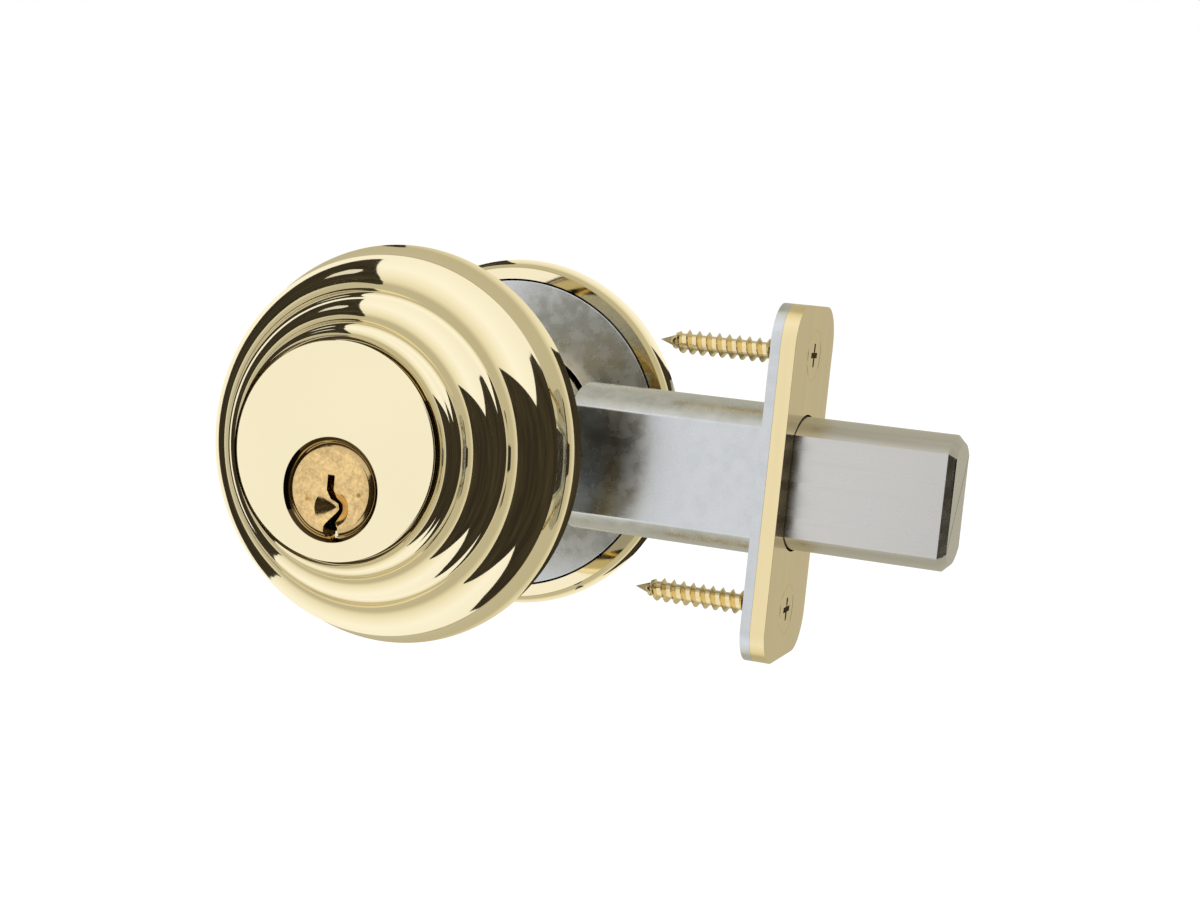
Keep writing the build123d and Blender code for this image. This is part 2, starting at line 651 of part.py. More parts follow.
def make_faceplate_screws(name):
    tip = BACKSET - WOOD_SCREW_L
    thread_end = BACKING_BACK - WOOD_SHANK_PAST_PLATES
    with BuildPart() as screws:
        for z in (PLATE_SCREW_Z, -PLATE_SCREW_Z):
            with BuildSketch(Plane(origin=(0, 0, z), x_dir=(1, 0, 0), z_dir=(0, -1, 0))):
                with BuildLine():
                    Polyline((tip, 0), (tip + 2 * WOOD_SCREW_R, WOOD_SCREW_R),
                             (thread_end, WOOD_SCREW_R), (thread_end, WOOD_SHANK_R),
                             (BACKSET - WOOD_SCREW_HEAD_L, WOOD_SHANK_R), (BACKSET, WOOD_SCREW_HEAD_R),
                             (BACKSET, 0), close=True)
                make_face()
            revolve(axis=Axis((0, 0, z), (1, 0, 0)))
        with BuildSketch(Plane.YZ.offset(BACKSET)):
            with Locations((0, PLATE_SCREW_Z), (0, -PLATE_SCREW_Z)):
                Rectangle(4.4, 0.9)
                Rectangle(0.9, 4.4)
        extrude(amount=-1.7, mode=Mode.SUBTRACT)
    save(screws, name)


os.makedirs("parts", exist_ok=True)
for side_name, side_face in SIDES.items():
    make_housing(side_face, f"{side_name}_cylinder_housing")
    make_plug(side_face, f"{side_name}_plug")
    make_plug_cap(side_face, f"{side_name}_plug_cap")
    make_tailpiece(side_face, f"{side_name}_tailpiece")
    make_key_pins(side_face, f"{side_name}_key_pins")
    make_driver_pins(side_face, f"{side_name}_driver_pins")
    make_pin_springs(side_face, f"{side_name}_pin_springs")
    make_spring_cover(side_face, f"{side_name}_spring_cover")
make_collar(OUTSIDE, "outside_collar")
make_collar(INSIDE, "inside_collar", SET_SCREW_ANGLES)
make_clamp_nut(OUTSIDE, "outside_clamp_nut", *OUTSIDE_NUT)
make_clamp_nut(INSIDE, "inside_clamp_nut", *INSIDE_NUT)
make_tie_plate("outside_tie_plate")
make_mounting_plate("inside_mounting_plate")
make_mounting_screws("mounting_screws")
make_set_screws("inside_set_screws")
make_plate("latch_faceplate", BACKSET, PLATE[2], PLATE_CORNER,
           (BOLT_R + BOLT_GAP, BOLT_FLAT + BOLT_GAP), True)
make_plate("latch_backing_plate", PLATE_BACK, BACKING_T, PLATE_CORNER,
           (BARREL_R + BARREL_FIT, BARREL_FLAT + BARREL_FIT), False)
make_barrel("latch_barrel")
make_end_plate("barrel_end_plate")
make_cage_plate("cage_plate_outer", 1)
make_cage_plate("cage_plate_inner", -1)
make_rivets("cage_rivets")
make_bolt("bolt")
make_bolt_tail("bolt_tail")
make_tail_pin("tail_pin")
make_saw_pin("saw_pin")
make_saw_pin_cap("saw_pin_cap")
make_cam("bolt_cam")
make_crank_pin("crank_pin")
make_faceplate_screws("faceplate_screws")
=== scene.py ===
"""A deadbolt keyed on both sides, modelled piece by piece over its CAD frame.

Metres. -Y is outside, +X runs to the edge of the door and +Z is up.
"""
import json
from math import atan2, cos, pi, radians, sin

import bpy
from bpy.props import FloatProperty, FloatVectorProperty, IntProperty, PointerProperty
from mathutils import Matrix, Vector


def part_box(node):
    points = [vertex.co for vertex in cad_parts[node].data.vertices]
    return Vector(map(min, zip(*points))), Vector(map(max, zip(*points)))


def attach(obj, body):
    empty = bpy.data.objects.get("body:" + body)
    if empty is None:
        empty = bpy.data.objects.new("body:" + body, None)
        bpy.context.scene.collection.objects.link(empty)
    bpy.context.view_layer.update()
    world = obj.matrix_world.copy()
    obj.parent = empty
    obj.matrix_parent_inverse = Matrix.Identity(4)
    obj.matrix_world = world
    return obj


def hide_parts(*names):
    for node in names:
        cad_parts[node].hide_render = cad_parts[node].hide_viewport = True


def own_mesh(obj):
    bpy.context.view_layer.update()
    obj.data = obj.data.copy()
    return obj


bl_info = {
    "name": "Keyed Deadbolt",
    "version": (1, 0, 0),
    "blender": (4, 5, 0),
    "location": "3D View > Sidebar > Deadbolt",
    "description": "Models a deadbolt with two keyed cylinders, its latch and its studio",
    "category": "Object",
}

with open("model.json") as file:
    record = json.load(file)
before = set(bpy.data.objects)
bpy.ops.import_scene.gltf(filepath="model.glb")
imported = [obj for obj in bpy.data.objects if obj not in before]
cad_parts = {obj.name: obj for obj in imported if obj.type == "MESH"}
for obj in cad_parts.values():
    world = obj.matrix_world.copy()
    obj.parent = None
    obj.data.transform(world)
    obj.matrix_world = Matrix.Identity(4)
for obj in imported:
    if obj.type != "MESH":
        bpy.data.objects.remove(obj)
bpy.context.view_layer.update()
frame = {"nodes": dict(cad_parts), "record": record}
MM = 0.001

# Places that come from the frame.
COLLAR_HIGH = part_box("outside_collar")[1]
DOOR_Y = {"outside": COLLAR_HIGH.y, "inside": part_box("inside_collar")[0].y}
PLUG_LOW, PLUG_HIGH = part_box("outside_plug_cap")
PLUG_Z = (PLUG_LOW.z + PLUG_HIGH.z) / 2
FLANGE_R = COLLAR_HIGH.z


class Side:
    """One face of the door: places are (across, up, out) in mm, as seen from that side."""

    def __init__(self, name):
        self.name = name
        outside = name == "outside"
        self.across = Vector((1, 0, 0)) if outside else Vector((-1, 0, 0))
        self.out = Vector((0, -1, 0)) if outside else Vector((0, 1, 0))
        self.origin = Vector((0, DOOR_Y[name], 0))

    def point(self, across, up, out):
        return self.origin + (self.across * across + Vector((0, 0, up)) + self.out * out) * MM


SIDES = (Side("outside"), Side("inside"))


# ---- outlines, in mm ----
def arc_through_bulge(start, end, bulge, steps):
    """Points of the arc from start to end that stands bulge out to the left of the way there."""
    start, end = Vector(start), Vector(end)
    chord = end - start
    middle = (start + end) / 2
    normal = Vector((-chord.y, chord.x)).normalized()
    radius = (chord.length ** 2 / 4 + bulge ** 2) / (2 * bulge)
    centre = middle + normal * (bulge - radius)
    low = atan2(start.y - centre.y, start.x - centre.x)
    turn = atan2(end.y - centre.y, end.x - centre.x) - low
    turn = (turn + pi) % (2 * pi) - pi
    return [centre + Vector((cos(low + turn * i / steps), sin(low + turn * i / steps))) * radius
            for i in range(steps + 1)]


def fillet(start, corner, end, fractions):
    """Points of the curve that rounds a corner, at fractions of the way from start to end."""
    return [start * (1 - t) ** 2 + corner * 2 * t * (1 - t) + end * t ** 2 for t in fractions]


def rounded_corner(before, corner, after, radius, steps=5):
    """Points that round a corner of an outline."""
    before, corner, after = Vector(before), Vector(corner), Vector(after)
    start = corner + (before - corner).normalized() * radius
    end = corner + (after - corner).normalized() * radius
    return fillet(start, corner, end, [i / steps for i in range(steps + 1)])


def valley(before, after, reach, steps):
    """Joins two curves that meet at an inner corner by a fillet that starts reach from the corner."""
    corner = before[-1]
    head = [p for p in before if (p - corner).length > reach]
    tail = [p for p in after if (p - corner).length > reach]
    return head + fillet(head[-1], corner, tail[0], [i / steps for i in range(1, steps)]) + tail


# ---- modelling steps ----
def start_fresh():
    """Goes to object mode and deselects everything, so that the next operator acts on its piece alone."""
    if bpy.context.object and bpy.context.object.mode != "OBJECT":
        bpy.ops.object.mode_set(mode="OBJECT")
    bpy.ops.object.select_all(action="DESELECT")


def pick(piece):
    """Selects one piece alone and makes it active."""
    start_fresh()
    piece.select_set(True)
    bpy.context.view_layer.objects.active = piece


def edit_all():
    bpy.ops.object.mode_set(mode="EDIT")
    bpy.ops.mesh.select_mode(type="VERT")
    bpy.ops.mesh.select_all(action="SELECT")


def draw_chain(points):
    """A new object whose edges run through the points, made by extruding a single vertex."""
    start_fresh()
    bpy.ops.mesh.primitive_plane_add(size=MM, location=points[0])
    edit_all()
    bpy.ops.mesh.merge(type="CENTER")
    for before, after in zip(points, points[1:]):
        bpy.ops.mesh.extrude_region_move(TRANSFORM_OT_translate={"value": after - before})
    bpy.ops.object.mode_set(mode="OBJECT")
    bpy.ops.object.transform_apply(location=True)
    return bpy.context.object


def turn(points, centre, axis, segments):
    """Spins a closed outline round an axis."""
    piece = draw_chain(points + points[:1])
    edit_all()
    bpy.ops.mesh.spin(steps=segments, angle=2 * pi, center=centre, axis=axis)
    clean_up()
    return piece


def lathe(outline, side, up, segments):
    """Turns an outline of (radius, out) in mm round the axis that lies up mm above the bore's."""
    points = [side.point(r, up, h) for r, h in outline]
    return turn(points, side.point(0, up, 0), side.out, segments)


def prism(points, along):
    """Fills a closed flat outline and extrudes it."""
    piece = draw_chain(points + points[:1])
    edit_all()
    bpy.ops.mesh.remove_doubles(threshold=1e-7)
    bpy.ops.mesh.select_all(action="SELECT")
    bpy.ops.mesh.edge_face_add()
    bpy.ops.mesh.extrude_region_move(TRANSFORM_OT_translate={"value": along})
    clean_up()
    return piece


def round_blank(radius, centre, axis, segments):
    """A flat disc in edit mode, all selected, ready to be bisected and extruded."""
    start_fresh()
    facing = Vector(axis).to_track_quat("Z", "Y").to_euler()
    bpy.ops.mesh.primitive_circle_add(vertices=segments, radius=radius * MM, fill_type="NGON",
                                      location=centre, rotation=facing)
    bpy.ops.object.transform_apply(location=True, rotation=True)
    edit_all()


def rod(radius, start, along, segments=32):
    round_blank(radius, start, along, segments)
    bpy.ops.mesh.extrude_region_move(TRANSFORM_OT_translate={"value": along})
    clean_up()
    return bpy.context.object


def oblong_bar(radius, flat, low_x, high_x, segments=160):
    """A round bar along X, in mm, with flats on the sides that face the door's faces."""
    round_blank(radius, (low_x * MM, 0, 0), (1, 0, 0), segments)
    for y in (flat, -flat):
        bpy.ops.mesh.select_all(action="SELECT")
        bpy.ops.mesh.bisect(plane_co=(0, y * MM, 0), plane_no=(0, y, 0), clear_outer=True)
    bpy.ops.mesh.select_all(action="SELECT")
    bpy.ops.mesh.extrude_region_move(TRANSFORM_OT_translate={"value": ((high_x - low_x) * MM, 0, 0)})
    clean_up()
    return bpy.context.object


def block(low, high):
    """A block between two corners, in mm."""
    round_the_end = ((low[1], low[2]), (high[1], low[2]), (high[1], high[2]), (low[1], high[2]))
    corners = [Vector((low[0], y, z)) * MM for y, z in round_the_end]
    return prism(corners, Vector(((high[0] - low[0]) * MM, 0, 0)))


def clean_up():
    """Merges doubles and turns every face outward. Works in edit mode and leaves object mode on."""
    bpy.ops.mesh.select_all(action="SELECT")
    bpy.ops.mesh.remove_doubles(threshold=2e-6)
    bpy.ops.mesh.normals_make_consistent(inside=False)
    bpy.ops.object.mode_set(mode="OBJECT")


def apply_modifier(piece, kind, **settings):
    pick(piece)
    modifier = piece.modifiers.new(kind.title(), kind)
    for name, value in settings.items():
        setattr(modifier, name, value)
    bpy.ops.object.modifier_apply(modifier=modifier.name)


def combine(piece, tool, operation="DIFFERENCE"):
    """Takes the tool out of the piece, or joins or overlaps the two, and deletes the tool."""
    apply_modifier(piece, "BOOLEAN", operation=operation, object=tool, solver="EXACT")
    bpy.data.objects.remove(tool)


def shade(piece, angle=30):
    pick(piece)
    bpy.ops.object.shade_smooth_by_angle(angle=radians(angle))


def break_edges(piece, width, segments=2, angle=35):
    """Rounds the sharp edges and shades the flats flat."""
    apply_modifier(piece, "BEVEL", width=width * MM, segments=segments, limit_method="ANGLE",
                   angle_limit=radians(angle), use_clamp_overlap=True)
    shade(piece)
    apply_modifier(piece, "WEIGHTED_NORMAL", keep_sharp=True)


def copy_to(piece, offset):
    """A copy with its own mesh, moved by an offset."""
    pick(piece)
    bpy.ops.object.duplicate_move(TRANSFORM_OT_translate={"value": offset})
    bpy.ops.object.transform_apply(location=True)
    return bpy.context.object


def shifted(tool, offset):
    """The tool moved by an offset."""
    moved = copy_to(tool, offset)
    bpy.data.objects.remove(tool)
    return moved


def join_pieces(pieces):
    start_fresh()
    for piece in pieces:
        piece.select_set(True)
    bpy.context.view_layer.objects.active = pieces[0]
    bpy.ops.object.join()
    return bpy.context.object


def put(piece, place, along):
    """Turns a piece made along +X on the origin to point along a direction, and moves it."""
    facing = Vector(along).to_track_quat("X", "Z").to_matrix().to_4x4()
    piece.matrix_world = Matrix.Translation(place) @ facing
    pick(piece)
    bpy.ops.object.transform_apply(location=True, rotation=True)
    return piece


def finish_piece(piece, name, slot, body, *nodes):
    """Names a piece, gives it its slot's finish and hangs it on its body in place of its CAD nodes."""
    piece.name = name
    piece.data.name = name
    piece.data.materials.clear()
    piece.data.materials.append(finish_for(slot))
    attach(piece, body)
    if nodes:
        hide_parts(*nodes)
    return piece


def settings():
    return bpy.context.scene.deadbolt


# ---- materials ----
def new_material(name, **constants):
    material = bpy.data.materials.new(name)
    material.use_nodes = True
    shader = material.node_tree.nodes["Principled BSDF"]
    for socket, value in constants.items():
        shader.inputs[socket.replace("_", " ")].default_value = value
    return material, shader


def add(material, kind, **values):
    node = material.node_tree.nodes.new(kind)
    for name, value in values.items():
        if name in node.inputs:
            node.inputs[name].default_value = value
        else:
            setattr(node, name, value)
    return node


def join(material, source, target):
    material.node_tree.links.new(source, target)


def object_noise(material, scale, detail=4.0, stretch=(1, 1, 1)):
    """Noise on object coordinates; returns its node."""
    place = add(material, "ShaderNodeTexCoord")
    mapping = add(material, "ShaderNodeMapping")
    mapping.inputs["Scale"].default_value = stretch
    noise = add(material, "ShaderNodeTexNoise", Scale=scale, Detail=detail)
    join(material, place.outputs["Object"], mapping.inputs["Vector"])
    join(material, mapping.outputs["Vector"], noise.inputs["Vector"])
    return noise


def ramp(material, source, low, high, start=0.0, end=1.0):
    """Colour ramp from low to high over the stretch start to end of the source."""
    node = add(material, "ShaderNodeValToRGB")
    node.color_ramp.elements[0].position = start
    node.color_ramp.elements[0].color = low
    node.color_ramp.elements[1].position = end
    node.color_ramp.elements[1].color = high
    join(material, source, node.inputs["Fac"])
    return node


def spread(material, source, low, high):
    """Maps a value of about 0.3 to 0.7 on to low to high."""
    node = add(material, "ShaderNodeMapRange")
    node.inputs["From Min"].default_value = 0.3
    node.inputs["From Max"].default_value = 0.7
    node.inputs["To Min"].default_value = low
    node.inputs["To Max"].default_value = high
    join(material, source, node.inputs["Value"])
    return node


def distance_from(material, x, z):
    """Distance in metres of a point from the line along Y through x and z."""
    place = add(material, "ShaderNodeTexCoord")
    mapping = add(material, "ShaderNodeMapping")
    mapping.inputs["Scale"].default_value = (1, 0, 1)
    mapping.inputs["Location"].default_value = (-x, 0, -z)
    length = add(material, "ShaderNodeVectorMath", operation="LENGTH")
    join(material, place.outputs["Object"], mapping.inputs["Vector"])
    join(material, mapping.outputs["Vector"], length.inputs[0])
    return length.outputs["Value"]


def band(material, distance, low, high, feather=0.00006):
    """1 where the distance lies between low and high, in metres, and 0 elsewhere."""
    rise = add(material, "ShaderNodeMapRange", interpolation_type="SMOOTHSTEP")
    rise.inputs["From Min"].default_value = low - feather
    rise.inputs["From Max"].default_value = low + feather
    fall = add(material, "ShaderNodeMapRange", interpolation_type="SMOOTHSTEP")
    fall.inputs["From Min"].default_value = high - feather
    fall.inputs["From Max"].default_value = high + feather
    fall.inputs["To Min"].default_value = 1.0
    fall.inputs["To Max"].default_value = 0.0
    both = add(material, "ShaderNodeMath", operation="MULTIPLY")
    join(material, distance, rise.inputs["Value"])
    join(material, distance, fall.inputs["Value"])
    join(material, rise.outputs["Result"], both.inputs[0])
    join(material, fall.outputs["Result"], both.inputs[1])
    return both.outputs["Value"]


def blend_colour(material, factor, before, after, kind="MIX"):
    """Mixes two colours, each a socket or a constant, by a factor."""
    mix = add(material, "ShaderNodeMix", data_type="RGBA", blend_type=kind)
    for name, value in (("Factor", factor), ("A", before), ("B", after)):
        socket = [i for i in mix.inputs if i.name == name and (name == "Factor" or i.type == "RGBA")][0]
        if isinstance(value, bpy.types.NodeSocket):
            join(material, value, socket)
        else:
            socket.default_value = value
    return [o for o in mix.outputs if o.type == "RGBA"][0]


def bump(material, source, strength, distance):
    node = add(material, "ShaderNodeBump", Strength=strength, Distance=distance)
    join(material, source, node.inputs["Height"])
    return node


def shaded(colour, factor):
    return (colour[0] * factor, colour[1] * factor, colour[2] * factor, 1.0)


def metal(name, colour, tone=(0.94, 1.03), rough=(0.1, 0.2), noise_scale=400, stretch=(1, 1, 1),
          bump_strength=0.05, bump_distance=0.00002):
    """A metal whose colour, roughness and surface vary with one noise."""
    material, shader = new_material(name, Metallic=1.0)
    noise = object_noise(material, noise_scale, 5.0, stretch)
    darker, lighter = shaded(colour, tone[0]), shaded(colour, tone[1])
    tint = ramp(material, noise.outputs["Fac"], darker, lighter, 0.35, 0.65)
    join(material, tint.outputs["Color"], shader.inputs["Base Color"])
    gloss = spread(material, noise.outputs["Fac"], *rough)
    join(material, gloss.outputs["Result"], shader.inputs["Roughness"])
    if bump_strength:
        relief = bump(material, noise.outputs["Fac"], bump_strength, bump_distance)
        join(material, relief.outputs["Normal"], shader.inputs["Normal"])
    return material


# A painted shade that darkens the gaps: its colour, and where it lies as radii in metres, round the plug and
# round the face disc.
GAP_SHADE_COLOUR = (0.055, 0.036, 0.014, 1)
PLUG_GAP, FACE_GAP = (0.0074, 0.00793), (0.01668, 0.01716)
# Where the plug's edge and rim get a painted shade, in metres from its axis. PAST_RIM is beyond the whole
# plug.
EDGE_SHADE_FROM, RIM_FROM, PAST_RIM = 0.0064, 0.00712, 0.009
STAIN_X, STAIN_DOWN, STAIN_R = 0.00475, 0.0002, 0.0003
# The stain's colour is the brass's own; the rim's colour is a painted shade.
STAIN_COLOUR, RIM_SHADE_COLOUR = (0.30, 0.17, 0.06, 1), (0.16, 0.10, 0.035, 1)


def polished_brass():
    """Mirror finish with faint clouds and buffing swirls, and a painted shade that darkens the gaps."""
    values = settings()
    colour = tuple(values.brass_colour)
    material, shader = new_material("Polished_brass", Metallic=1.0)
    clouds = object_noise(material, 35, 3.0)
    darker, lighter = shaded(colour, 0.985), shaded(colour, 1.01)
    tint = ramp(material, clouds.outputs["Fac"], darker, lighter, 0.35, 0.65)
    swirls = object_noise(material, 700, 6.0)
    # Painted shade: the gaps round the plug and round the face disc are darkened to near black.
    gap_shaded = tint.outputs["Color"]
    for centre_z, ring in ((PLUG_Z, PLUG_GAP), (0, FACE_GAP)):
        gap = band(material, distance_from(material, 0, centre_z), *ring)
        gap_shaded = blend_colour(material, gap, gap_shaded, GAP_SHADE_COLOUR)
    join(material, gap_shaded, shader.inputs["Base Color"])
    rough = values.brass_roughness
    gloss = spread(material, swirls.outputs["Fac"], rough * 0.7, rough * 1.3)
    join(material, gloss.outputs["Result"], shader.inputs["Roughness"])
    return material


def plug_brass():
    """Brass that keys have rubbed: warm mottling, a few stains and fine scratches, and a painted shade that
    darkens its edge and, more, its rim.
    """
    colour = tuple(settings().plug_colour)
    material, shader = new_material("Worn_plug_brass", Metallic=1.0)
    speckle = object_noise(material, 2600, 6.0)
    mottle = object_noise(material, 650, 5.0)
    fine = ramp(material, speckle.outputs["Fac"], (0.80, 0.78, 0.72, 1), (1.08, 1.08, 1.10, 1),
                0.32, 0.68)
    tint = ramp(material, mottle.outputs["Fac"], shaded(colour, 0.80), shaded(colour, 1.10),
                0.32, 0.66)
    worn_and_shaded = blend_colour(material, 1.0, tint.outputs["Color"], fine.outputs["Color"], "MULTIPLY")
    stains = object_noise(material, 330, 2.0)
    spots = ramp(material, stains.outputs["Fac"], (1, 1, 1, 1), (0.6, 0.46, 0.32, 1), 0.66, 0.76)
    worn_and_shaded = blend_colour(material, 1.0, worn_and_shaded, spots.outputs["Color"], "MULTIPLY")
    from_stain = distance_from(material, STAIN_X, PLUG_Z - STAIN_DOWN)
    spot = band(material, from_stain, -0.001, STAIN_R, 0.00025)
    worn_and_shaded = blend_colour(material, spot, worn_and_shaded, STAIN_COLOUR)
    # Painted shade: the plug darkens towards its edge, and darker still over its rim.
    from_axis = distance_from(material, 0, PLUG_Z)
    edge = band(material, from_axis, EDGE_SHADE_FROM, PAST_RIM, 0.0009)
    worn_and_shaded = blend_colour(material, edge, worn_and_shaded, shaded(colour, 0.62))
    rim = band(material, from_axis, RIM_FROM, PAST_RIM, 0.00012)
    worn_and_shaded = blend_colour(material, rim, worn_and_shaded, RIM_SHADE_COLOUR)
    join(material, worn_and_shaded, shader.inputs["Base Color"])
    gloss = spread(material, speckle.outputs["Fac"], 0.10, 0.20)
    join(material, gloss.outputs["Result"], shader.inputs["Roughness"])
    scratches = object_noise(material, 1500, 3.0, (0.15, 1, 1))
    relief = bump(material, scratches.outputs["Fac"], 0.10, 0.00001)
    join(material, relief.outputs["Normal"], shader.inputs["Normal"])
    return material


# Each metal's name, colour, tone, roughness and noise scale, with the noise's stretch and the bump.
METALS = {
    "faceplate_brass": ("Faceplate_brass", (0.86, 0.72, 0.42), (0.95, 1.02), (0.12, 0.2), 300,
                        (1, 1, 0.03), 0.08),
    "machined_brass": ("Machined_brass", (0.80, 0.62, 0.30), (0.88, 1.04), (0.22, 0.34), 600),
    "nickel_silver": ("Nickel_silver", (0.62, 0.59, 0.52), (0.9, 1.05), (0.18, 0.3), 900),
    "spring_wire": ("Spring_wire", (0.58, 0.58, 0.60), (0.85, 1.05), (0.12, 0.22), 1200),
    "zinc_plated_steel": ("Zinc_plated_steel", (0.66, 0.68, 0.70), (0.90, 1.05), (0.20, 0.34), 420,
                          (1, 1, 1), 0.12),
    "bright_steel": ("Satin_steel", (0.64, 0.63, 0.61), (0.92, 1.04), (0.2, 0.32), 500, (0.04, 1, 1), 0.1),
    "dark_steel": ("Hardened_steel", (0.10, 0.10, 0.105), (0.8, 1.2), (0.25, 0.4), 500),
}
MAKERS = {"polished_brass": polished_brass, "plug_brass": plug_brass}


def finish_for(slot):
    """The material of a record slot, made the first time that it is asked for."""
    made = bpy.context.scene.get("deadbolt_finishes")
    names = dict(made) if made else {}
    if slot not in names:
        names[slot] = (MAKERS[slot]() if slot in MAKERS else metal(*METALS[slot])).name
        bpy.context.scene["deadbolt_finishes"] = names
    return bpy.data.materials[names[slot]]


# ---- settings ----
class DeadboltSettings(bpy.types.PropertyGroup):
    """Sizes and colours of the visible pieces."""

    segments: IntProperty(name="Segments", description="Faces round the turned pieces", default=256, min=32)
    crease_r: FloatProperty(
        name="Crease radius", description="Sharp line above the flange, in mm", default=29.9)
    crease_h: FloatProperty(name="Crease height", description="Height of that line, in mm", default=7.8)
    valley_reach: FloatProperty(
        name="Valley reach", description="How far the valleys between the ribs are rounded, in mm",
        default=1.0)
    brass_colour: FloatVectorProperty(
        name="Brass", description="Reflected colour of the polished brass", subtype="COLOR",
        default=(0.93, 0.83, 0.57))
    plug_colour: FloatVectorProperty(
        name="Plug brass", description="Reflected colour of the worn plug", subtype="COLOR",
        default=(0.84, 0.60, 0.28))
    plug_edge: FloatProperty(name="Plug edge", description="Edge break of the keyway, in mm", default=0.06)
    plate_edge: FloatProperty(
        name="Plate edge", description="Edge break of the faceplate, in mm", default=0.4)
    bolt_edge: FloatProperty(name="Bolt edge", description="Edge break of the bolt, in mm", default=0.25)
    brass_roughness: FloatProperty(
        name="Brass roughness", description="Gloss of the polished brass", default=0.045, min=0.0, max=1.0)
    studio_light: FloatProperty(
        name="Studio light", description="Brightness of the white studio", default=1.0, min=0.0)


# ---- pieces ----
# The collar's outline as (radius, out from the door's face) in mm, and how far each arc of it bulges.
COLLAR_FOOT, FLANGE_TOP = 30.2, 2.8
OUTER_VALLEY, INNER_VALLEY, LIP = (23.95, 14.2), (19.3, 19.7), (17.2, 22.65)
FOOT_BULGE, RIM_BULGE, LARGE_BULGE, MIDDLE_BULGE, SMALL_BULGE = 0.4, 0.47, 1.25, 1.3, 0.75
VALLEY_STEPS = 12
COLLAR_INSIDE = ((17.2, 21.1), (16.1, 21.1), (16.1, 19.5), (17.9, 19.5), (22.4, 13.0),
                 (28.2, 6.6), (28.2, 0))


def collar_outline():
    """Outline of the stepped collar, from the ring on the door round the outside and back inside."""
    values = settings()
    edge = (FLANGE_R / MM, FLANGE_TOP)
    crease = (values.crease_r, values.crease_h)
    reach = values.valley_reach
    foot = arc_through_bulge((COLLAR_FOOT, 0), edge, FOOT_BULGE, 10)
    rim = arc_through_bulge(edge, crease, RIM_BULGE, 14)
    large = arc_through_bulge(crease, OUTER_VALLEY, LARGE_BULGE, 44)
    middle = arc_through_bulge(OUTER_VALLEY, INNER_VALLEY, MIDDLE_BULGE, 38)
    small = arc_through_bulge(INNER_VALLEY, LIP, SMALL_BULGE, 22)
    ribs = valley(valley(large, middle, reach, VALLEY_STEPS), small, reach, VALLEY_STEPS)
    return foot + rim[1:] + ribs[1:] + [Vector(p) for p in COLLAR_INSIDE]


class DEADBOLT_OT_collars(bpy.types.Operator):
    """Spin the stepped brass collars"""

    bl_idname = "deadbolt.collars"
    bl_label = "Collars"

    def execute(self, context):
        for side in SIDES:
            collar = lathe(collar_outline(), side, 0, settings().segments)
            shade(collar)
            finish_piece(collar, f"{side.name}_collar_shell", "polished_brass", "lock_case",
                         f"{side.name}_collar")
        return {"FINISHED"}


PIN_HEIGHTS = [16.4 - 3.96 * i for i in range(5)]      # of the pin chambers, out from the door's face
CHAMBER_R = 1.46
PLUG_UP = PLUG_Z / MM               # of the plug's axis above the bore's
PAST = 1.0                          # how far a cutting tool passes beyond the piece

# The housing: places out from the door's face, and radii.
HOUSING_FACE, HEAD_BACK, HOUSING_BACK = 23.1, 21.1, -7.0
HEAD_R, HOUSING_BODY_R = 16.65, 15.9
HEAD_ROUNDING, HOUSING_CHAMFER = 0.3, 0.5
MOUTH_R, RECESS_R, BORE_R = 7.93 + 0.85, 7.25, 6.35
RECESS_TOP, RECESS_FLOOR = 22.3, 20.8
CHAMBER_TOP = 14.0
COVER_SLOT_LOW, COVER_SLOT_HIGH = (-2.03, CHAMBER_TOP, -2.05), (2.03, 17.0, 19.05)


def chambers(piece, side, floor, top):
    """Bores the five pin chambers, between two heights in mm."""
    for out in PIN_HEIGHTS:
        drill = rod(CHAMBER_R, side.point(0, floor, out), Vector((0, 0, (top - floor) * MM)))
        combine(piece, drill)


class DEADBOLT_OT_housings(bpy.types.Operator):
    """Turn the cylinder housings and bore them for the plug and the pins"""

    bl_idname = "deadbolt.housings"
    bl_label = "Cylinder housings"

    def execute(self, context):
        for side in SIDES:
            face, back = HOUSING_FACE, HOUSING_BACK
            outline = ([(0, face), (HEAD_R - 0.45, face)]
                       + rounded_corner((0, face), (HEAD_R, face), (HEAD_R, 0), HEAD_ROUNDING)
                       + [(HEAD_R, HEAD_BACK), (HOUSING_BODY_R, HEAD_BACK),
                          (HOUSING_BODY_R, back + HOUSING_CHAMFER), (HOUSING_BODY_R - HOUSING_CHAMFER, back),
                          (0, back)])
            housing = lathe(outline, side, 0, settings().segments)
            hole = [(0, face + PAST), (MOUTH_R, face + PAST), (RECESS_R, RECESS_TOP),
                    (RECESS_R, RECESS_FLOOR), (BORE_R, RECESS_FLOOR), (BORE_R, back - PAST), (0, back - PAST)]
            combine(housing, lathe(hole, side, PLUG_UP, 160))
            chambers(housing, side, 0, CHAMBER_TOP + 0.1)
            ends = [side.point(*corner) / MM for corner in (COVER_SLOT_LOW, COVER_SLOT_HIGH)]
            combine(housing, block([min(pair) for pair in zip(*ends)], [max(pair) for pair in zip(*ends)]))
            shade(housing)
            apply_modifier(housing, "WEIGHTED_NORMAL", keep_sharp=True)
            finish_piece(housing, f"{side.name}_housing_turned", "polished_brass", "lock_case",
                         f"{side.name}_cylinder_housing")
        return {"FINISHED"}


# Round the keyway from its top left corner, in mm from the plug's middle.
KEYWAY = ((-0.62, 2.25), (-0.62, -0.1), (-0.28, -1.5), (0.79, -2.1), (0.97, -3.0), (-0.42, -5.0),
          (-0.7, -5.6), (-0.7, -6.6), (-0.4, -7.4), (0.9, -7.4), (1.78, -6.65), (1.67, -5.5),
          (0.98, -5.0), (1.94, -3.0), (1.84, -2.0), (0.85, -1.25), (0.55, -0.1), (0.55, 2.25))


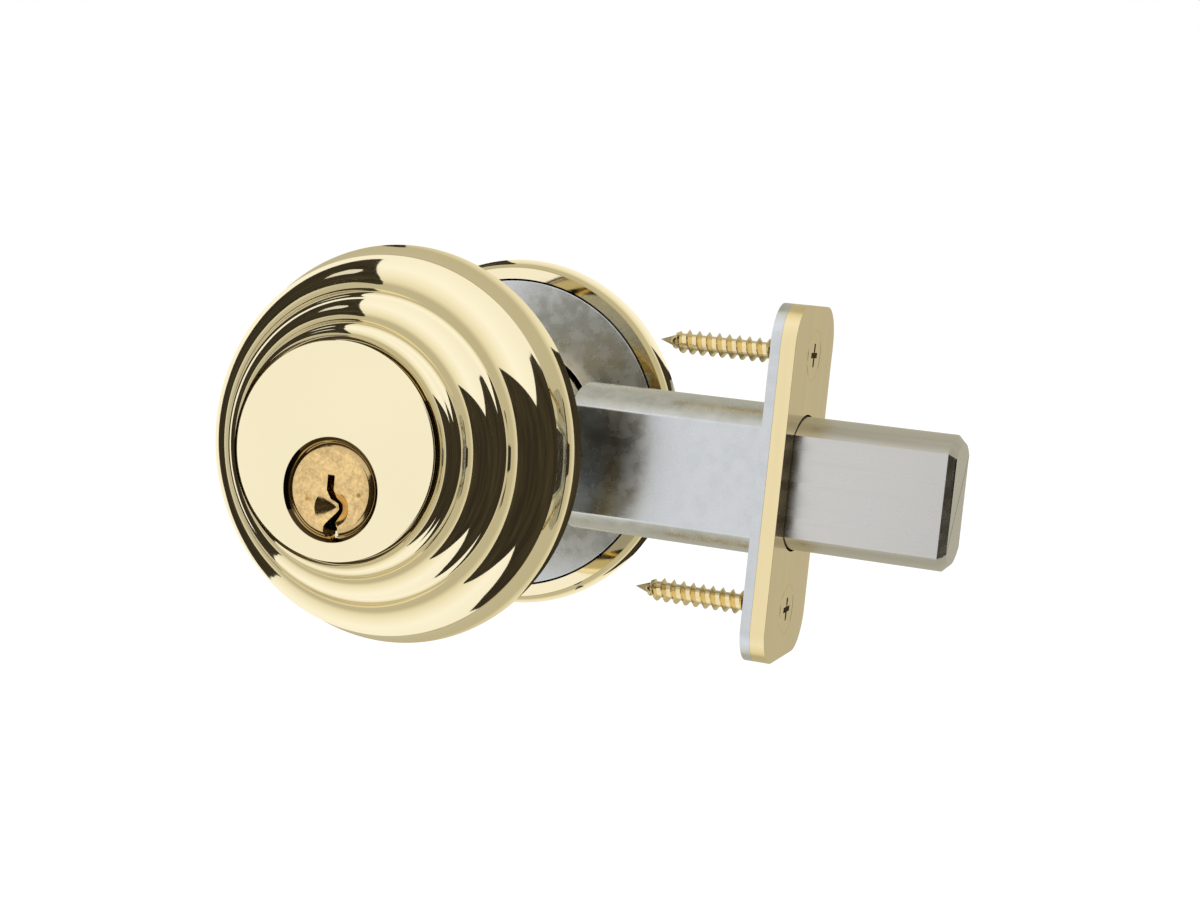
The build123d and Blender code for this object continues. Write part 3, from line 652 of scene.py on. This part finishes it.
# The plug: places out from the door's face, and radii.
PLUG_FACE, RIM_TOP, RIM_BACK, PLUG_BACK, PLUG_END = 22.95, 22.3, 20.9, -7.0, -9.0
PLUG_FACE_R, RIM_R, PLUG_R, NECK_R = 6.45, 7.2, 6.3, 5.0
DIMPLE_R, DIMPLE_DEPTH, DIMPLE_AT = 2.85, 1.7, (0.4, -2.75)     # the place is (across, up) from the middle
DIMPLE_TIP_R, DIMPLE_TIP_DEPTH = 0.1, 1.68
PLUG_CHAMBER_DEPTH = 3.3                                        # below the plug's axis
LUG_ARCS = ((4.9, range(48, 133, 7)), (3.0, range(132, 47, -7)))    # radius, and degrees round it
LUG_FRONT, LUG_LENGTH = 0.3, 1.5


class DEADBOLT_OT_plugs(bpy.types.Operator):
    """Turn the plugs, sink the dimple and cut the keyway"""

    bl_idname = "deadbolt.plugs"
    bl_label = "Plugs"

    def execute(self, context):
        for side in SIDES:
            face, back, end = PLUG_FACE, PLUG_BACK, PLUG_END
            outline = ([(0, face), (6.2, face)]
                       + rounded_corner((0, face), (PLUG_FACE_R, face), (RIM_R, RIM_TOP), 0.15, 3)
                       + rounded_corner((PLUG_FACE_R, face), (RIM_R, RIM_TOP), (RIM_R, RIM_BACK), 0.2, 3)
                       + [(RIM_R, RIM_BACK), (PLUG_R, RIM_BACK), (PLUG_R, back), (NECK_R, back),
                          (NECK_R, end), (0, end)])
            plug = lathe(outline, side, PLUG_UP, 192)
            tip = [(0, face - DIMPLE_DEPTH), (DIMPLE_TIP_R, face - DIMPLE_TIP_DEPTH), (DIMPLE_R, face),
                   (DIMPLE_R + 0.17, face + 0.1), (0, face + 0.1)]
            drill = lathe(tip, side, 0, 96)
            across, up = DIMPLE_AT
            combine(plug, shifted(drill, side.across * across * MM + Vector((0, 0, PLUG_UP + up)) * MM))
            chambers(plug, side, PLUG_UP - PLUG_CHAMBER_DEPTH, PLUG_UP + PLUG_R + PAST)
            keyway = [side.point(x, PLUG_UP + z, end - PAST) for x, z in KEYWAY]
            combine(plug, prism(keyway, side.out * (face - end + 2 * PAST) * MM))
            lug = [side.point(r * cos(radians(a)), PLUG_UP + r * sin(radians(a)), end + LUG_FRONT)
                   for r, turns in LUG_ARCS for a in turns]
            combine(plug, prism(lug, side.out * -LUG_LENGTH * MM), "UNION")
            break_edges(plug, settings().plug_edge, 2, 40)
            finish_piece(plug, f"{side.name}_plug_turned", "plug_brass", f"{side.name}_plug",
                         f"{side.name}_plug")
        return {"FINISHED"}


PLATE_X = (57.925, 60.325)          # back and front of the faceplate
BACKING_X = (56.325, 57.925)
BARREL_X = (22.9, 57.925)
PLATE_SIZE = (25.4, 57.15)
PLATE_CORNER, BACKING_EDGE = 6.35, 0.15
PLATE_SCREW_Z, SCREW_HOLE_R = 20.65, 2.2
COUNTERSINK_R, COUNTERSINK_DEPTH = 5.2, 2.0     # the radius is 1 mm in front of the plate
BOLT_HOLE = (11.1, 7.45)            # radius and half the width across the flats
BARREL_HOLE = (12.35, 8.65)


def plate_blank(x, corner):
    """The rounded plate, across X, with its screw holes still to be made."""
    start_fresh()
    bpy.ops.mesh.primitive_plane_add(size=MM, location=(x[0] * MM, 0, 0), rotation=(0, pi / 2, 0))
    plate = bpy.context.object
    plate.scale = (PLATE_SIZE[1], PLATE_SIZE[0], 1)
    bpy.ops.object.transform_apply(location=True, rotation=True, scale=True)
    edit_all()
    bpy.ops.mesh.bevel(affect="VERTICES", offset=corner * MM, segments=16, profile=0.5)
    bpy.ops.mesh.select_all(action="SELECT")
    bpy.ops.mesh.extrude_region_move(TRANSFORM_OT_translate={"value": ((x[1] - x[0]) * MM, 0, 0)})
    clean_up()
    return plate


class DEADBOLT_OT_faceplate(bpy.types.Operator):
    """Cut the faceplate and its backing plate, with their holes"""

    bl_idname = "deadbolt.faceplate"
    bl_label = "Faceplate"

    def execute(self, context):
        low, high = PLATE_X[0] - PAST, PLATE_X[1] + PAST
        front = plate_blank(PLATE_X, PLATE_CORNER)
        combine(front, oblong_bar(*BOLT_HOLE, low, high))
        back = plate_blank(BACKING_X, PLATE_CORNER)
        combine(back, oblong_bar(*BARREL_HOLE, BACKING_X[0] - PAST, BACKING_X[1] + PAST))
        hole = [(0, low), (SCREW_HOLE_R, low), (SCREW_HOLE_R, PLATE_X[1] - COUNTERSINK_DEPTH),
                (COUNTERSINK_R, high), (0, high)]
        for z in (PLATE_SCREW_Z, -PLATE_SCREW_Z):
            sink = turn([Vector((x, 0, z + r)) * MM for r, x in hole], (0, 0, z * MM), (1, 0, 0), 64)
            combine(front, sink)
            start = ((BACKING_X[0] - PAST) * MM, 0, z * MM)
            combine(back, rod(SCREW_HOLE_R, start, Vector((4 * MM, 0, 0)), 64))
        break_edges(front, settings().plate_edge, 3, 40)
        break_edges(back, BACKING_EDGE, 2, 40)
        finish_piece(front, "faceplate_polished", "faceplate_brass", "lock_case", "latch_faceplate")
        finish_piece(back, "backing_plate_pressed", "zinc_plated_steel", "lock_case", "latch_backing_plate")
        return {"FINISHED"}


# The bolt, along X, with the slot for its tail, the bore for the saw-resistant pin and the tail's pin hole.
BOLT_REAR, BOLT_FRONT, NOSE_CHAMFER = 49.725, 85.725, 1.2
BOLT_FORM = (10.8, 7.15)            # radius and half the width across the flats
TAIL_SLOT_HALF, TAIL_SLOT_DEPTH, TAIL_SLOT_Z = 1.15, 7.1, (2.55, 9.05)
SAW_BORE_R, SAW_BORE_DEPTH, SAW_BORE_Z = 3.06, 29.2, -3.6
TAIL_PIN_R, TAIL_PIN_X, TAIL_PIN_Z = 1.52, 3.5, 5.8
BARREL_FORM, BARREL_EDGE = (12.3, 8.6), 0.2


class DEADBOLT_OT_bolt(bpy.types.Operator):
    """Mill the bolt and drill it for the saw-resistant pin and the tail"""

    bl_idname = "deadbolt.bolt"
    bl_label = "Bolt"

    def execute(self, context):
        rear = BOLT_REAR
        bolt = oblong_bar(*BOLT_FORM, rear, BOLT_FRONT, 192)
        edit_all()
        bpy.ops.mesh.select_all(action="DESELECT")
        bpy.ops.mesh.select_mode(type="FACE")
        bpy.ops.object.mode_set(mode="OBJECT")
        for face in bolt.data.polygons:
            face.select = face.normal.x > 0.9
        bpy.ops.object.mode_set(mode="EDIT")
        bpy.ops.mesh.bevel(affect="EDGES", offset=NOSE_CHAMFER * MM, segments=1)
        clean_up()
        combine(bolt, block((rear - PAST, -TAIL_SLOT_HALF, TAIL_SLOT_Z[0]),
                            (rear + TAIL_SLOT_DEPTH, TAIL_SLOT_HALF, TAIL_SLOT_Z[1])))
        combine(bolt, rod(SAW_BORE_R, ((rear - PAST) * MM, 0, SAW_BORE_Z * MM),
                          Vector(((SAW_BORE_DEPTH + PAST) * MM, 0, 0)), 96))
        combine(bolt, rod(TAIL_PIN_R, ((rear + TAIL_PIN_X) * MM, -9 * MM, TAIL_PIN_Z * MM),
                          Vector((0, 18 * MM, 0)), 48))
        break_edges(bolt, settings().bolt_edge, 3, 28)
        finish_piece(bolt, "bolt_milled", "bright_steel", "bolt", "bolt")
        return {"FINISHED"}


class DEADBOLT_OT_barrel(bpy.types.Operator):
    """Form the sleeve that the bolt slides in"""

    bl_idname = "deadbolt.barrel"
    bl_label = "Barrel"

    def execute(self, context):
        barrel = oblong_bar(*BARREL_FORM, *BARREL_X)
        combine(barrel, oblong_bar(*BOLT_HOLE, BARREL_X[0] - PAST, BARREL_X[1] + PAST))
        break_edges(barrel, BARREL_EDGE, 2, 28)
        finish_piece(barrel, "barrel_drawn", "zinc_plated_steel", "lock_case", "latch_barrel")
        return {"FINISHED"}


WING_HALF = 0.45                    # half the width of a wing of the cross recess
# Turned forms as (radius, x), the head's top at x = 0.
WOOD_FORM = ((0, 0), (3.9, 0), (4.1, -0.15), (1.65, -2.55), (1.6, -4.4), (1.3, -5.2), (1.3, -22.4), (0, -26))
MOUNTING_R, MOUNTING_CORE, MOUNTING_HEAD_R, MOUNTING_HEAD_H = 1.9, 1.7, 4.0, 2.6
MOUNTING_L = 44.45 + 2.0 + 1.2      # the door's thickness, the mounting plate's, and what stands past them
MOUNTING_THREAD_L, MOUNTING_TIP = 16.0, 0.6
MOUNTING_ACROSS, MOUNTING_PLATE_T = 20.6, 2.0


def screw(outline, core, crest, pitch, thread, recess):
    """A screw along -X with its head's top on the origin.

    outline is its turned form as (radius, x), without the thread. The thread runs over the x range
    thread, from the core's radius to the crest's, inside the form of the tip. recess is the reach and
    depth of the cross.
    """
    body = turn([Vector((x, 0, r)) * MM for r, x in outline], (0, 0, 0), (1, 0, 0), 64)
    low, high = thread
    root, half = core - 0.12, pitch * 0.34
    ridge = [(low - pitch - half, root), (low - pitch, crest), (low - pitch + half, root)]
    coil = draw_chain([Vector((x, 0, r)) * MM for x, r in ridge + ridge[:1]])
    edit_all()
    bpy.ops.mesh.remove_doubles(threshold=1e-7)
    bpy.ops.object.mode_set(mode="OBJECT")
    turns = int((high - low) / pitch) + 1
    apply_modifier(coil, "SCREW", axis="X", angle=2 * pi, screw_offset=pitch * MM, iterations=turns,
                   steps=40, render_steps=40, use_merge_vertices=False)
    edit_all()
    bpy.ops.mesh.fill_holes(sides=0)
    clean_up()
    tip = outline[-1][1]
    inside = crest + 0.02
    envelope = [(0, tip), (inside, tip + 2.1 * inside), (inside, high), (core, high + 0.3),
                (0, high + 0.3)]
    form = turn([Vector((x, 0, r)) * MM for r, x in envelope], (0, 0, 0), (1, 0, 0), 64)
    combine(coil, form, "INTERSECT")
    combine(body, coil, "UNION")
    reach, depth = recess
    wing = ((0.3, -reach), (0.3, reach), (-depth, reach * 0.35), (-depth, -reach * 0.35))
    for turned in (0, pi / 2):
        tool = prism([Vector((x, 0, w)) * MM + Vector((0, -WING_HALF * MM, 0)) for x, w in wing],
                     Vector((0, 2 * WING_HALF * MM, 0)))
        tool.rotation_euler = (turned, 0, 0)
        pick(tool)
        bpy.ops.object.transform_apply(rotation=True)
        combine(body, tool)
    shade(body)
    return body


class DEADBOLT_OT_screws(bpy.types.Operator):
    """Cut the faceplate's wood screws and the long mounting screws"""

    bl_idname = "deadbolt.screws"
    bl_label = "Screws"

    def execute(self, context):
        wood = screw(WOOD_FORM, 1.3, 2.0, 1.7, (-24.5, -4.6), (2.1, 1.7))
        upper = put(wood, (PLATE_X[1] * MM, 0, PLATE_SCREW_Z * MM), (1, 0, 0))
        lower = copy_to(upper, (0, 0, -2 * PLATE_SCREW_Z * MM))
        finish_piece(join_pieces([upper, lower]), "wood_screws_cut", "faceplate_brass", "lock_case",
                     "faceplate_screws")
        head_r, head_h, end = MOUNTING_HEAD_R, MOUNTING_HEAD_H, -MOUNTING_L
        run_out = end + MOUNTING_THREAD_L
        form = ([(0, head_h), (2.6, head_h)]
                + rounded_corner((0, head_h), (head_r, head_h), (head_r, 0), 1.0, 6)
                + [(head_r, 0), (MOUNTING_R, 0), (MOUNTING_R, run_out + 0.5), (MOUNTING_CORE, run_out),
                   (MOUNTING_CORE, end + MOUNTING_TIP), (MOUNTING_CORE - 0.5, end), (0, end)])
        thread = (end + MOUNTING_TIP - head_h, run_out - head_h)
        long = screw([(r, x - head_h) for r, x in form], MOUNTING_CORE, 2.0, 0.8, thread, (2.1, 1.6))
        top = SIDES[1].point(MOUNTING_ACROSS, PLUG_UP, MOUNTING_PLATE_T + head_h)
        right = put(long, top, SIDES[1].out)
        left = copy_to(right, (2 * MOUNTING_ACROSS * MM, 0, 0))
        finish_piece(join_pieces([right, left]), "mounting_screws_cut", "zinc_plated_steel",
                     "lock_case", "mounting_screws")
        return {"FINISHED"}


RIVET_HEAD_R, RIVET_R = 2.4, 1.6
RIVET_DOME, RIVET_CROWN, RIVET_SEAT = 6.3, 0.6, 5.0     # places along Y, and the dome's height
RIVET_PLACES = ((11.5, -7.6), (-11.5, -7.6), (-22.0, 2.0))


class DEADBOLT_OT_rivets(bpy.types.Operator):
    """Head the rivets that hold the latch's cage together"""

    bl_idname = "deadbolt.rivets"
    bl_label = "Rivets"

    def execute(self, context):
        dome = [(RIVET_HEAD_R * sin(radians(a)), RIVET_DOME + RIVET_CROWN * cos(radians(a)))
                for a in range(0, 91, 10)]
        head_back = RIVET_DOME - 0.1
        half = dome + [(RIVET_HEAD_R, head_back), (RIVET_R, head_back), (RIVET_R, RIVET_SEAT),
                       (RIVET_HEAD_R, RIVET_SEAT)]
        outline = half + [(r, -y) for r, y in half[::-1]]
        rivets = []
        for x, z in RIVET_PLACES:
            points = [Vector((x + r, y, z)) * MM for r, y in outline]
            rivets.append(turn(points, (x * MM, 0, z * MM), (0, 1, 0), 48))
        rivets = join_pieces(rivets)
        shade(rivets)
        finish_piece(rivets, "rivets_headed", "zinc_plated_steel", "lock_case", "cage_rivets")
        return {"FINISHED"}


DRIVER_BOTTOM, DRIVER_L = 6.42, 5.0             # above the plug's axis, and long
WIRE_R, COIL_R, COIL_TURNS, COIL_FIT = 0.17, 1.15, 6, 0.05


class DEADBOLT_OT_springs(bpy.types.Operator):
    """Wind the pin springs"""

    bl_idname = "deadbolt.springs"
    bl_label = "Pin springs"

    def execute(self, context):
        low, high = PLUG_UP + DRIVER_BOTTOM + DRIVER_L, CHAMBER_TOP
        rise = (high - low - 2 * WIRE_R - 2 * COIL_FIT) / COIL_TURNS
        start_fresh()
        bpy.ops.mesh.primitive_circle_add(vertices=10, radius=WIRE_R * MM, fill_type="NOTHING",
                                          location=(COIL_R * MM, 0, 0), rotation=(pi / 2, 0, 0))
        bpy.ops.object.transform_apply(location=True, rotation=True)
        spring = bpy.context.object
        apply_modifier(spring, "SCREW", axis="Z", angle=2 * pi, screw_offset=rise * MM,
                       iterations=COIL_TURNS, steps=28, render_steps=28, use_merge_vertices=False)
        edit_all()
        bpy.ops.mesh.fill_holes(sides=0)
        clean_up()
        shade(spring)
        for side in SIDES:
            foot = low + WIRE_R + COIL_FIT
            coils = [copy_to(spring, side.point(0, foot, out)) for out in PIN_HEIGHTS]
            coils = finish_piece(join_pieces(coils), f"{side.name}_springs_wound", "spring_wire",
                                 "lock_case", f"{side.name}_pin_springs")
            side.point(0, high, PIN_HEIGHTS[2])
            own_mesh(coils)
        bpy.data.objects.remove(spring)
        return {"FINISHED"}


# Pieces whose CAD shape is right as it is, with the width of their edge breaks in mm.
MACHINED = {
    "outside_tie_plate": 0.2, "inside_mounting_plate": 0.2, "barrel_end_plate": 0.1,
    "cage_plate_outer": 0.15, "cage_plate_inner": 0.15, "bolt_tail": 0.2, "tail_pin": 0.15,
    "saw_pin": 0.2, "saw_pin_cap": 0.1, "bolt_cam": 0.15, "crank_pin": 0.1,
    "outside_tailpiece": 0.12, "inside_tailpiece": 0.12, "outside_plug_cap": 0.1,
    "inside_plug_cap": 0.1, "outside_clamp_nut": 0.2, "inside_clamp_nut": 0.2,
    "outside_spring_cover": 0.1, "inside_spring_cover": 0.1, "outside_key_pins": 0.15,
    "inside_key_pins": 0.15, "outside_driver_pins": 0.15, "inside_driver_pins": 0.15,
    "inside_set_screws": 0.06,
}


class DEADBOLT_OT_edge_breaks(bpy.types.Operator):
    """Break the edges of the small machined and pressed pieces"""

    bl_idname = "deadbolt.edge_breaks"
    bl_label = "Edge breaks"

    def execute(self, context):
        slots = {part["node"]: part["material_slot"] for part in frame["record"]["subparts"]}
        bodies = {node: body for body, nodes in frame["record"]["behaviour"]["bodies"].items()
                  for node in nodes}
        for node, width in MACHINED.items():
            piece = bpy.data.objects.new(f"{node}_finished", frame["nodes"][node].data.copy())
            context.collection.objects.link(piece)
            pick(piece)
            edit_all()
            bpy.ops.mesh.remove_doubles(threshold=1e-6)
            bpy.ops.mesh.select_all(action="SELECT")
            bpy.ops.mesh.dissolve_limited(angle_limit=radians(0.5))
            bpy.ops.object.mode_set(mode="OBJECT")
            break_edges(piece, width, 2, 40)
            finish_piece(piece, piece.name, slots[node], bodies[node], node)
        return {"FINISHED"}


class DEADBOLT_OT_stage(bpy.types.Operator):
    """Set the floor, the white studio with its dark sides, and the camera"""

    bl_idname = "deadbolt.stage"
    bl_label = "Stage"

    def execute(self, context):
        make_world()
        make_floor()
        for name, columns, tone in CARDS:
            make_card(name, columns, tone)
        make_camera()
        return {"FINISHED"}


# Each card is a list of upright strips: (azimuth, lowest and highest elevation) in degrees, from the lock.
CARDS = (
    ("dark_side_right", ((-4, -39, -30), (8, -43, 19), (16, -42, 23), (28, -39, 21), (41, -36, 17),
                         (50, -49, 22), (60, -60, 32), (70, -66, 38), (80, -69, 42), (90, -71, 45),
                         (97, -70, 46.5)), 0.045),
    ("dark_side_left", ((-98, -39, 60), (-90, -38, 60), (-80, -37, 58.5), (-74, -36, 57)), 0.045),
    ("dark_wing_upper", ((-74, 2, 57), (-68, 14, 55), (-62, 21, 53), (-50, 30, 46), (-38, 35, 36)), 0.045),
    ("dark_wing_lower", ((-74, -36, -17), (-68, -34, -25), (-60, -31.5, -31)), 0.045),
    ("dark_wing_back", ((-125, 53, 56), (-110, 47, 60), (-98, 30, 60)), 0.045),
    ("lamp_left", ((-77, 39, 45), (-73, 37, 48), (-67, 38, 49), (-62, 42, 47)), 0.8),
)
CARD_DISTANCE, LAMP_DISTANCE = 1.5, 1.5 * 0.9
LAMP_TONE = 0.5                     # a card brighter than this is a lamp
CARD_TINTS = (0.75, 0.62, 0.45), (1.5, 1.25, 0.8)       # dark and light streaks
LOOK_FROM = Vector((0, -0.04, 0))


def direction(azimuth, elevation):
    """Unit vector to an azimuth, 0 in front of the lock and 90 to the right, and an elevation."""
    a, e = radians(azimuth), radians(elevation)
    return Vector((sin(a) * cos(e), -cos(a) * cos(e), sin(e)))


def make_card(name, columns, tone):
    """A card that only reflections see, as a side of the tent."""
    start_fresh()
    is_lamp = tone > LAMP_TONE
    distance = LAMP_DISTANCE if is_lamp else CARD_DISTANCE
    low = [LOOK_FROM + direction(a, e) * distance for a, e, _ in columns]
    high = [LOOK_FROM + direction(a, e) * distance for a, _, e in columns]
    card = draw_chain(low + high[::-1] + low[:1])
    edit_all()
    bpy.ops.mesh.remove_doubles(threshold=1e-5)
    bpy.ops.mesh.select_all(action="SELECT")
    bpy.ops.mesh.fill(use_beauty=False)
    bpy.ops.object.mode_set(mode="OBJECT")
    card.name = name
    material = bpy.data.materials.new(name)
    material.use_nodes = True
    nodes = material.node_tree.nodes
    nodes.clear()
    glow = nodes.new("ShaderNodeEmission")
    streaks = object_noise(material, 3.2, 5.0, (2.2, 2.2, 0.5))
    dark, light = [(tone * r, tone * g, tone * b, 1) for r, g, b in CARD_TINTS]
    if is_lamp:
        dark = light = (tone, tone, tone, 1)
    weave = ramp(material, streaks.outputs["Fac"], dark, light, 0.42, 0.80)
    join(material, weave.outputs["Color"], glow.inputs["Color"])
    out = nodes.new("ShaderNodeOutputMaterial")
    material.node_tree.links.new(glow.outputs["Emission"], out.inputs["Surface"])
    card.data.materials.append(material)
    card.visible_camera = False
    card.visible_diffuse = False
    card.visible_shadow = False


# Light of the tent from in front of the lock, 0, to behind it, 1.
TENT = ((0.06, (1.0, 1.0, 1.0)), (0.27, (1.07, 1.08, 1.12)), (0.42, (0.97, 0.96, 0.90)),
        (0.54, (0.86, 0.83, 0.70)), (0.65, (0.56, 0.53, 0.42)))


def make_world():
    """A white tent, dimmer and warmer behind the lock. The camera itself sees plain white."""
    world = bpy.data.worlds.new("Studio")
    bpy.context.scene.world = world
    world.use_nodes = True
    nodes, links = world.node_tree.nodes, world.node_tree.links
    nodes.clear()
    place = nodes.new("ShaderNodeTexCoord")
    split = nodes.new("ShaderNodeSeparateXYZ")
    links.new(place.outputs["Generated"], split.inputs["Vector"])
    forward = nodes.new("ShaderNodeMapRange")
    forward.inputs["From Min"].default_value = -1
    links.new(split.outputs["Y"], forward.inputs["Value"])
    depth = nodes.new("ShaderNodeValToRGB")
    stops = depth.color_ramp.elements
    while len(stops) < len(TENT):
        stops.new(0.5)
    for stop, (position, colour) in zip(stops, TENT):
        stop.position = position
        stop.color = (*colour, 1)
    links.new(forward.outputs["Result"], depth.inputs["Fac"])
    tent = nodes.new("ShaderNodeBackground")
    tent.inputs["Strength"].default_value = settings().studio_light
    links.new(depth.outputs["Color"], tent.inputs["Color"])
    plain = nodes.new("ShaderNodeBackground")
    plain.inputs["Color"].default_value = (1, 1, 1, 1)
    ray = nodes.new("ShaderNodeLightPath")
    mix = nodes.new("ShaderNodeMixShader")
    links.new(ray.outputs["Is Camera Ray"], mix.inputs["Fac"])
    links.new(tent.outputs["Background"], mix.inputs[1])
    links.new(plain.outputs["Background"], mix.inputs[2])
    out = nodes.new("ShaderNodeOutputWorld")
    links.new(mix.outputs["Shader"], out.inputs["Surface"])
    bpy.context.scene.view_settings.view_transform = "Standard"


FLOOR_SIZE, FLOOR_Z, FLOOR_GLOW = 30, -0.35, 0.85


def make_floor():
    start_fresh()
    bpy.ops.mesh.primitive_plane_add(size=FLOOR_SIZE, location=(0, 0, FLOOR_Z))
    floor = bpy.context.object
    floor.name = "floor"
    material, shader = new_material("Paper_sweep", Roughness=0.9, Base_Color=(0.22, 0.22, 0.23, 1))
    shader.inputs["Emission Color"].default_value = (1, 1, 1, 1)
    shader.inputs["Emission Strength"].default_value = FLOOR_GLOW
    floor.data.materials.append(material)
    floor.visible_glossy = False


CAMERA_AZIMUTH, CAMERA_ELEVATION, CAMERA_ROLL = 19.8, 5.15, 5.68
CAMERA_DISTANCE = 0.2804
CAMERA_AIM = (0.03367, 0.00322)    # to the right of the lock's axis and above it, on the door's outside face
CAMERA_LENS = 54.48
CAMERA_CLIP = 0.01


def make_camera():
    back = direction(CAMERA_AZIMUTH, CAMERA_ELEVATION)
    azimuth = radians(CAMERA_AZIMUTH)
    right = Vector((cos(azimuth), sin(azimuth), 0))
    up = back.cross(right)
    roll = radians(CAMERA_ROLL)
    x_axis = right * cos(roll) + up * sin(roll)
    y_axis = up * cos(roll) - right * sin(roll)
    aim = Vector((CAMERA_AIM[0], DOOR_Y["outside"], CAMERA_AIM[1]))
    bpy.ops.object.camera_add()
    camera = bpy.context.object
    facing = Matrix((x_axis, y_axis, back)).transposed().to_4x4()
    camera.matrix_world = Matrix.Translation(aim + back * CAMERA_DISTANCE) @ facing
    camera.data.lens = CAMERA_LENS
    camera.data.sensor_width = 36
    camera.data.clip_start = CAMERA_CLIP
    bpy.context.scene.camera = camera


class DEADBOLT_OT_frame_finishes(bpy.types.Operator):
    """Give every CAD node the finish of its slot"""

    bl_idname = "deadbolt.frame_finishes"
    bl_label = "Finishes"

    def execute(self, context):
        for part in frame["record"]["subparts"]:
            node = frame["nodes"][part["node"]]
            material = finish_for(part["material_slot"])
            node.data.materials.clear()
            node.data.materials.append(material)
        return {"FINISHED"}


STEPS = (
    DEADBOLT_OT_collars, DEADBOLT_OT_housings, DEADBOLT_OT_plugs, DEADBOLT_OT_springs,
    DEADBOLT_OT_faceplate, DEADBOLT_OT_bolt, DEADBOLT_OT_barrel, DEADBOLT_OT_screws,
    DEADBOLT_OT_rivets, DEADBOLT_OT_edge_breaks, DEADBOLT_OT_frame_finishes, DEADBOLT_OT_stage,
)


class DEADBOLT_PT_panel(bpy.types.Panel):
    """Lists the steps that build the lock"""

    bl_label = "Deadbolt"
    bl_idname = "DEADBOLT_PT_panel"
    bl_space_type = "VIEW_3D"
    bl_region_type = "UI"
    bl_category = "Deadbolt"

    def draw(self, context):
        for step in STEPS:
            self.layout.operator(step.bl_idname)


CLASSES = (DeadboltSettings, *STEPS, DEADBOLT_PT_panel)


def register():
    for cls in CLASSES:
        bpy.utils.register_class(cls)
    bpy.types.Scene.deadbolt = PointerProperty(type=DeadboltSettings)


def unregister():
    del bpy.types.Scene.deadbolt
    for cls in reversed(CLASSES):
        bpy.utils.unregister_class(cls)


def main():
    register()
    for step in STEPS:
        area, name = step.bl_idname.split(".")
        getattr(getattr(bpy.ops, area), name)()


if __name__ == "__main__":
    main()
